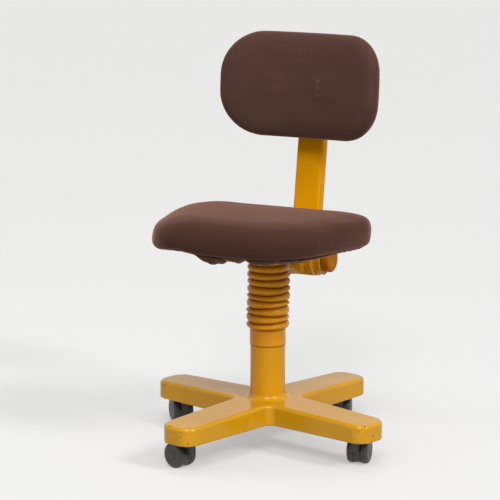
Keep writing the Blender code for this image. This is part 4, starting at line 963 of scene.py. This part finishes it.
def fold_depth(x):
    depth = 0.0
    for centre, half, deep in SLACK_FOLDS:
        reach = abs(x - centre) / half
        if reach < 1:
            depth = max(depth, deep * (1 - reach**3) ** 0.8)
    return depth


def gathered(share, lane, counts, wander):
    """A wandering wave round a hem with a finer one over it."""
    broad = math.sin(math.tau * counts[0] * share + wander * noise.noise(lane))
    fine = math.sin(math.tau * counts[1] * share + 3.0 * noise.noise(lane * 1.7))
    return broad + 0.5 * fine


def crimped(ruffle, t, growth):
    """How far a gather stands off the hem, more towards its inner edge."""
    return ruffle * (LEAST_CRIMP + growth * t) * min(1.0, 3 * t)


def build_seat_hem(place):
    """The cover's elastic hem under the pan, gathered in folds and hanging slack at the front."""
    stations, across = 900, 18
    outer = seat_loop(HEM_OUTER, stations)
    inner = seat_loop(HEM_INNER, stations)
    points = []
    for i in range(stations):
        forward = max(0.0, -outer[i].y / SEAT_FRONT)
        lane = Vector((outer[i].x * LANE_SCALE, outer[i].y * LANE_SCALE, 3.0))
        ruffle = gathered(i / stations, lane, HEM_GATHERS, HEM_WANDER)
        tucked = outer[i].lerp(inner[i], min(1.0, 0.25 + forward))
        for j in range(across):
            t = j / (across - 1)
            flat = outer[i].lerp(tucked, t)
            crease = noise.noise(lane * 2.6 + Vector((0, 0, 3.0 * t)))
            slack = min(1.0, 1.4 * forward) * fold_depth(outer[i].x + HEM_SKEW * (t - 0.3))
            slack *= 1 + HEM_CREASE * crease
            hang = math.sin(math.pi * min(1.0, 0.04 + t * 0.98)) ** 0.8
            drop = HEM_DROP + hang * (HEM_HANG + slack)
            drop *= 1 - smooth_step(t, 0.86, 1.0)
            sway = HEM_SWAY * slack * noise.noise(lane * 2.0 + Vector((0, 0, 4 * t)))
            rise = crimped(ruffle, t, HEM_CRIMP) + HEM_DRAWN * drawn_up(flat.x, flat.y)
            points.append((flat.x + sway, flat.y, min(HEM_CEILING, rise - drop)))
    faces = grid_faces(stations, across, rows_close=True, columns_close=False)
    hem = mesh_object("seat_hem_band", points, faces)
    finish_hem(hem, place, "seat")
    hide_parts("seat_hem")


def finish_hem(hem, place, body):
    modified(hem, "SOLIDIFY", thickness=CLOTH_THICKNESS, offset=0.0)
    tidy_normals(hem, 80)
    placed(hem, place)
    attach(dress(hem, "brown_cloth"), body)
    # The hem wears the lighter copy of the jersey: painted light
    hem.data.materials[0] = CLOTH_LIT


BACK_HALF = 0.162
BACK_HALF_HEIGHT = 0.0990
BACK_RISE = 0.0012
BACK_LEFT_R = 0.083
BACK_RIGHT_R = 0.071
BACK_TOP_R = 0.066
BACK_LEFT = 0.1638
BACK_BOW = 0.012
BACK_CORNERS = [
    (BACK_HALF - BACK_TOP_R, BACK_HALF_HEIGHT - BACK_TOP_R, BACK_TOP_R),
    (BACK_LEFT_R - BACK_LEFT, BACK_HALF_HEIGHT - BACK_LEFT_R, BACK_LEFT_R),
    (BACK_LEFT_R - BACK_LEFT, BACK_LEFT_R - BACK_HALF_HEIGHT, BACK_LEFT_R),
    (BACK_HALF - BACK_RIGHT_R, BACK_RIGHT_R - BACK_HALF_HEIGHT, BACK_RIGHT_R),
]
BACK_CURVE_R = 0.500
BACK_BEND = 1 / (2 * BACK_CURVE_R)
PAD_REAR = -0.0146
PAD_FRONT = -0.0546
PAD_WAIST = PAD_REAR + 0.42 * (PAD_FRONT - PAD_REAR)
PAD_ROUND = 0.017
PAD_POWER = 2.3
PAD_CROWN = 0.004
PAD_FACE = 0.058
PAD_HELD = 0.004
PAD_SWELL = 0.004
PAD_REAR_INSETS = (0.070, 0.055, 0.038, 0.024, 0.019)
PAD_CROWN_SHARES = (0.15, 0.3, 0.5, 0.7, 0.9)
BACK_HEM_OUTER = 0.0105
BACK_HEM_INNER = 0.044
BACK_HEM_GATHERS = (52, 89)
BACK_HEM_WANDER = 2.4
BACK_HEM_CRIMP = 0.0015
BACK_HEM_FLATTEST = -0.0009
BACK_HEM_START = PAD_REAR - 0.0030
BACK_HEM_STAND = 0.0099
BACK_HEM_EDGE = 0.32
BACK_HEM_PUFF = 0.0012


def back_loop(inset, count):
    """The backrest's outline, with its upper and lower edges bowed."""
    loop = []
    for p in rounded_outline(BACK_CORNERS, inset, count):
        rise = BACK_BOW * max(0.0, 1 - (p.x / BACK_HALF) ** 2)
        loop.append(Vector((p.x, p.y * (1 + rise) + BACK_RISE)))
    return loop


def bent(inset, depth, count):
    return [(p.x, depth - BACK_BEND * p.x**2, p.y) for p in back_loop(inset, count)]


# Small rubbed marks on the back pad, and a painted highlight band of sheen down its right edge: place across,
# place up, half width, half height and strength
RUB_AND_SHEEN_MARKS = [
    (0.040, 0.012, 0.0045, 0.0040, 0.55),
    (0.039, 0.000, 0.0035, 0.0035, 0.45),
    (0.040, -0.014, 0.0050, 0.0030, 0.50),
    (-0.002, 0.050, 0.0090, 0.0022, 0.30),
    (-0.044, -0.004, 0.0160, 0.0050, 0.16),
    (0.128, -0.052, 0.0040, 0.0100, 0.22),
    # A painted highlight band of sheen down the pad's right edge
    (0.150, 0.010, 0.0070, 0.0500, 0.16),
]
RUB_GRAIN = 320


def rub_and_sheen_marks(pad):
    """Stores how rubbed the pad's cloth is at each point of its front, with a painted highlight band near its
    right edge.
    """
    attribute = pad.data.attributes.new("rub_and_sheen", "FLOAT", "POINT")
    middle = (PAD_REAR + PAD_FRONT) / 2
    for i, vertex in enumerate(pad.data.vertices):
        x, y, z = vertex.co
        if y + BACK_BEND * x * x > middle:
            continue
        amount = 0.0
        for across, up, wide, tall, strength in RUB_AND_SHEEN_MARKS:
            reach = ((x - across) / wide) ** 2 + ((z - up) / tall) ** 2
            ragged = 0.7 + 0.6 * noise.noise(Vector((x * RUB_GRAIN, z * RUB_GRAIN, 5.0)))
            amount = max(amount, strength * ragged * math.exp(-reach))
        attribute.data[i].value = amount


def build_back():
    """The padded back: flat behind, rounded all round its edge, a little crowned in front."""
    count, rear_steps, front_steps = 160, 8, 10
    place = frame_at(PIVOT, -BACK_TILT)
    rings = [bent(inset, PAD_REAR, count) for inset in PAD_REAR_INSETS]
    for step in range(rear_steps + 1):
        angle = step / rear_steps * math.pi / 2
        depth = PAD_REAR + (PAD_WAIST - PAD_REAR) * (1 - math.cos(angle))
        rings.append(bent(PAD_ROUND * (1 - math.sin(angle)), depth, count))
    front = PAD_FRONT + PAD_CROWN
    for step in range(1, front_steps + 1):
        across, up = bulged(step / front_steps, PAD_POWER)
        rings.append(bent(PAD_ROUND * across, PAD_WAIST + (front - PAD_WAIST) * up, count))
    for share in PAD_CROWN_SHARES:
        depth = front - PAD_CROWN * (1 - (1 - share) ** 2)
        rings.append(bent(PAD_ROUND + share * PAD_FACE, depth, count))
    pad = lofted("back_cover", rings, (0, PAD_REAR, 0), (0, front - PAD_CROWN, 0))
    sizes = points_of(pad)
    simulate(pad, lambda p: p.y + BACK_BEND * p.x**2 > PAD_REAR - PAD_HELD, PAD_SWELL)
    soften(pad, 9)
    low, high = sizes.min(axis=0), sizes.max(axis=0)
    fitted(pad, (low[0], None, low[2]), (high[0], None, high[2]))
    rub_and_sheen_marks(pad)
    placed(pad, place)
    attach(dress(pad, "brown_cloth"), "backrest")
    # The pad wears the lighter copy of the jersey: painted light
    pad.data.materials[0] = CLOTH_LIT
    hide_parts("back_cushion")
    build_back_hem(place)


def build_back_hem(place):
    """The same cover's hem, drawn over the edge of the shell behind the pad."""
    stations, across = 640, 12
    outer = back_loop(BACK_HEM_OUTER, stations)
    inner = back_loop(BACK_HEM_INNER, stations)
    points = []
    for i in range(stations):
        lane = Vector((outer[i].x * LANE_SCALE, outer[i].y * LANE_SCALE, 8.0))
        ruffle = gathered(i / stations, lane, BACK_HEM_GATHERS, BACK_HEM_WANDER)
        for j in range(across):
            t = j / (across - 1)
            flat = outer[i].lerp(inner[i], t)
            depth = BACK_HEM_START + BACK_HEM_STAND * smooth_step(t, 0.0, BACK_HEM_EDGE)
            depth += BACK_HEM_PUFF * math.sin(math.pi * t)
            depth += max(BACK_HEM_FLATTEST, crimped(ruffle, t, BACK_HEM_CRIMP))
            points.append((flat.x, depth - BACK_BEND * flat.x**2, flat.y))
    faces = grid_faces(stations, across, rows_close=True, columns_close=False)
    hem = mesh_object("back_hem_band", points, faces)
    finish_hem(hem, place, "backrest")


# Upright, knob and clamp

CLAMP_HEAD = 0.011
CLAMP_SHANK_R = 0.0040
CLAMP_LOBES = 10
CLAMP_FLUTE = 0.07
KNOB_DISH = 0.0012
KNOB_DISH_INNER = 0.33
KNOB_DISH_OUTER = 0.38


def rounded_rectangle(half_width, half_depth, radius, steps):
    points = []
    for k, (sx, sy) in enumerate(((1, 1), (-1, 1), (-1, -1), (1, -1))):
        centre = (sx * (half_width - radius), sy * (half_depth - radius))
        points += arc(centre, radius, k * math.pi / 2, (k + 1) * math.pi / 2, steps)
    return points


def build_upright():
    """The back's rectangular tube, with rounded corners and softened ends."""
    place = frame_at(HINGE, -BACK_LEAN)
    low, high = extents("back_upright", place)
    half_width, half_depth = high[0], high[1]
    edge, steps = 0.0006, 8
    levels = [(edge, low[2]), (0.0, low[2] + edge), (0.0, high[2] - edge), (edge, high[2])]
    levels += [(UPRIGHT_WALL, high[2]), (UPRIGHT_WALL, low[2])]
    points = []
    for inset, height in levels:
        radius = max(UPRIGHT_CORNER - inset, edge)
        outline = rounded_rectangle(half_width - inset, half_depth - inset, radius, steps)
        points += [(x, y, height) for x, y in outline]
    faces = grid_faces(len(levels), len(outline), rows_close=True)
    tube = tidy_normals(mesh_object("upright_tube", points, faces), 30)
    bore = peg("axle_bore", AXLE_BORE_R, -2 * half_width, 2 * half_width, SMALL_ROUND)
    boolean(tube, placed(bore, Matrix.Rotation(math.pi / 2, 4, "Y")))
    placed(tube, place)
    even_normals(tube, 30)
    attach(dress(tube, "mustard_paint"), "upright")
    # A lighter copy of the mustard enamel on the upright: painted light
    tube.data.materials[0] = PAINT_UPRIGHT_LIT
    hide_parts("back_upright")


def build_knob():
    """The tilt's round clamp knob, dished in the middle of its face."""
    along_x = frame_at(HINGE, math.pi / 2, "Y")
    start, end = KNOB_LOW.x, KNOB_HIGH.x
    rim, radius = end - KNOB_RIM, (KNOB_HIGH.z - KNOB_LOW.z) / 2
    back = KNOB_EDGE / 2
    knob = [(0.0, end - KNOB_DISH), (KNOB_DISH_INNER * radius, end - KNOB_DISH)]
    knob += [(KNOB_DISH_OUTER * radius, end - 0.2 * KNOB_DISH), (radius - 2 * KNOB_EDGE, end)]
    knob += arc((radius - KNOB_EDGE, end - KNOB_EDGE), KNOB_EDGE, math.radians(84), 0.0, 10)
    knob += arc((radius - back, rim + back), back, 0.0, -math.pi / 2, 5)
    knob += [(KNOB_HUB_R, rim), (KNOB_HUB_R, start), (AXLE_BORE_R, start)]
    knob += [(AXLE_BORE_R, rim + GAP), (0.0, rim + GAP)]
    wheel = placed(turned("tilt_handwheel", knob, 72), along_x)
    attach(dress(wheel, "mustard_paint"), "knob")
    # A darker copy of the mustard enamel on the knob: painted shade
    wheel.data.materials[0] = PAINT_KNOB_SHADED
    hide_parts("tilt_knob")


def build_clamp():
    """The hand screw behind the back: a lobed head on a plain shank."""
    place = frame_at(CLAMP, -BACK_LEAN)
    near, far = extents("clamp_screw", place)
    start, high, radius = near[1], far[1], far[0]
    low = high - CLAMP_HEAD
    levels = [
        (0.0, high - 0.0004, 0.0),
        (0.47 * radius, high, 0.0),
        (0.81 * radius, high - 0.0003, 0.4),
        (0.95 * radius, high - 0.0018, 1.0),
        (radius, high - 0.0040, 1.0),
        (0.99 * radius, low + 0.0030, 1.0),
        (0.88 * radius, low + 0.0012, 0.6),
        (0.52 * radius, low, 0.0),
        (CLAMP_SHANK_R, low, 0.0),
        (CLAMP_SHANK_R, start, 0.0),
        (0.0, start, 0.0),
    ]
    screw = turned("clamp_handscrew", [(r, h) for r, h, _ in levels], 120)
    depth = {round(h, 6): share for _, h, share in levels}
    for vert in screw.data.vertices:
        share = depth.get(round(vert.co.z, 6), 0.0)
        angle = math.atan2(vert.co.y, vert.co.x)
        vert.co.xy *= 1 - CLAMP_FLUTE * share * max(0.0, math.cos(CLAMP_LOBES * angle)) ** 2
    tidy_normals(screw, 40)
    placed(screw, place @ Matrix.Rotation(-math.pi / 2, 4, "X"))
    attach(dress(screw, "charcoal_plastic"), "clamp")
    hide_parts("clamp_screw")


# Studio

FLOOR = (0.800, 0.800, 0.797)
FLOOR_GLOW = (0.825, 0.825, 0.818)
GLOW_SHARE = 0.48
FLOOR_BOUNCE = 0.42
FLOOR_HALF = 30
SKY = 0.34
BACKDROP = (0.87, 0.875, 0.865)
LAMPS_AIM = (0.0, 0.0, 0.3)
CAMERA_LENS = 169.64
CAMERA_SENSOR = 36.0
CAMERA_AT = (1.8551, -3.8794, 1.2523)
CAMERA_PITCH = math.radians(78.48)
CAMERA_TURN = math.radians(26)


def seen_share(tree):
    """One for what the camera sees directly, in a reflection or through something; zero for light."""
    path = tree.nodes.new("ShaderNodeLightPath")
    share = path.outputs["Is Camera Ray"]
    for name in ("Is Glossy Ray", "Is Transmission Ray"):
        node = tree.nodes.new("ShaderNodeMath")
        node.operation = "MAXIMUM"
        for socket, value in zip(node.inputs, (share, path.outputs[name])):
            put(tree, value, socket)
        share = node.outputs[0]
    return share


def mixed(tree, share, first, second):
    node = tree.nodes.new("ShaderNodeMixShader")
    for index, value in enumerate((share, first, second)):
        put(tree, value, node.inputs[index])
    return node.outputs[0]


def studio_floor():
    corners = [(x * FLOOR_HALF, y * FLOOR_HALF, 0) for x, y in ((-1, -1), (1, -1), (1, 1), (-1, 1))]
    floor = mesh_object("floor", corners, [(0, 1, 2, 3)])
    g = Graph("studio_floor")
    g.feed(g.shader, Base_Color=colour(*FLOOR), Roughness=0.8, Specular_IOR_Level=0.1)
    glow = g.feed(g.add("ShaderNodeEmission"), Color=colour(*FLOOR_GLOW), Strength=1.0)
    bounce = g.feed(g.add("ShaderNodeBsdfDiffuse"), Color=grey(FLOOR_BOUNCE))
    bright = mixed(g.tree, GLOW_SHARE, g.shader.outputs[0], glow.outputs[0])
    result = mixed(g.tree, seen_share(g.tree), bounce.outputs[0], bright)
    g.feed(g.tree.nodes["Material Output"], Surface=result)
    floor.data.materials.append(g.material)


def studio_world():
    world = bpy.data.worlds.new("studio")
    scene.world = world
    world.use_nodes = True
    tree = world.node_tree
    light = tree.nodes["Background"]
    light.inputs["Color"].default_value = grey(1.0)
    light.inputs["Strength"].default_value = SKY
    seen = tree.nodes.new("ShaderNodeBackground")
    seen.inputs["Color"].default_value = colour(*BACKDROP)
    result = mixed(tree, seen_share(tree), light.outputs[0], seen.outputs[0])
    tree.links.new(result, tree.nodes["World Output"].inputs["Surface"])


def aimed(name, data, place, target):
    lamp = link(bpy.data.objects.new(name, data))
    lamp.location = place
    lamp.rotation_euler = (Vector(target) - Vector(place)).to_track_quat("-Z", "Y").to_euler()


def softbox(name, size, power, place):
    light = bpy.data.lights.new(name, "AREA")
    light.shape = "RECTANGLE"
    light.size, light.size_y = size
    light.energy = power
    aimed(name, light, place, LAMPS_AIM)


def sun(name, energy, spread, azimuth, height):
    """A distant lamp; its azimuth turns from the chair's front towards its right."""
    light = bpy.data.lights.new(name, "SUN")
    light.energy = energy
    light.angle = math.radians(spread)
    turn, lift = math.radians(azimuth), math.radians(height)
    place = (math.cos(lift) * math.sin(turn), -math.cos(lift) * math.cos(turn), math.sin(lift))
    aimed(name, light, place, (0.0, 0.0, 0.0))


def build_studio():
    studio_floor()
    studio_world()
    sun("right_key", 1.6, 14, 75, 38)
    sun("front_key", 1.4, 22, 22, 46)
    sun("low_fill", 0.24, 30, 15, 10)
    softbox("overhead", (0.9, 0.4), 11.0, (0.0, -0.3, 2.5))
    softbox("glint_left", (0.25, 0.25), 2.6, (-0.5, -1.7, 2.0))
    softbox("glint_right", (0.25, 0.25), 2.6, (1.0, -1.5, 2.0))

    camera = bpy.data.cameras.new("camera")
    camera.lens = CAMERA_LENS
    camera.sensor_width = CAMERA_SENSOR
    viewpoint = link(bpy.data.objects.new("camera", camera))
    viewpoint.location = CAMERA_AT
    viewpoint.rotation_euler = (CAMERA_PITCH, 0.0, CAMERA_TURN)
    scene.camera = viewpoint
    scene.view_settings.view_transform = "Standard"


build_base()
build_bellows()
build_casters()
build_seat()
build_back()
build_upright()
build_knob()
build_clamp()
build_studio()
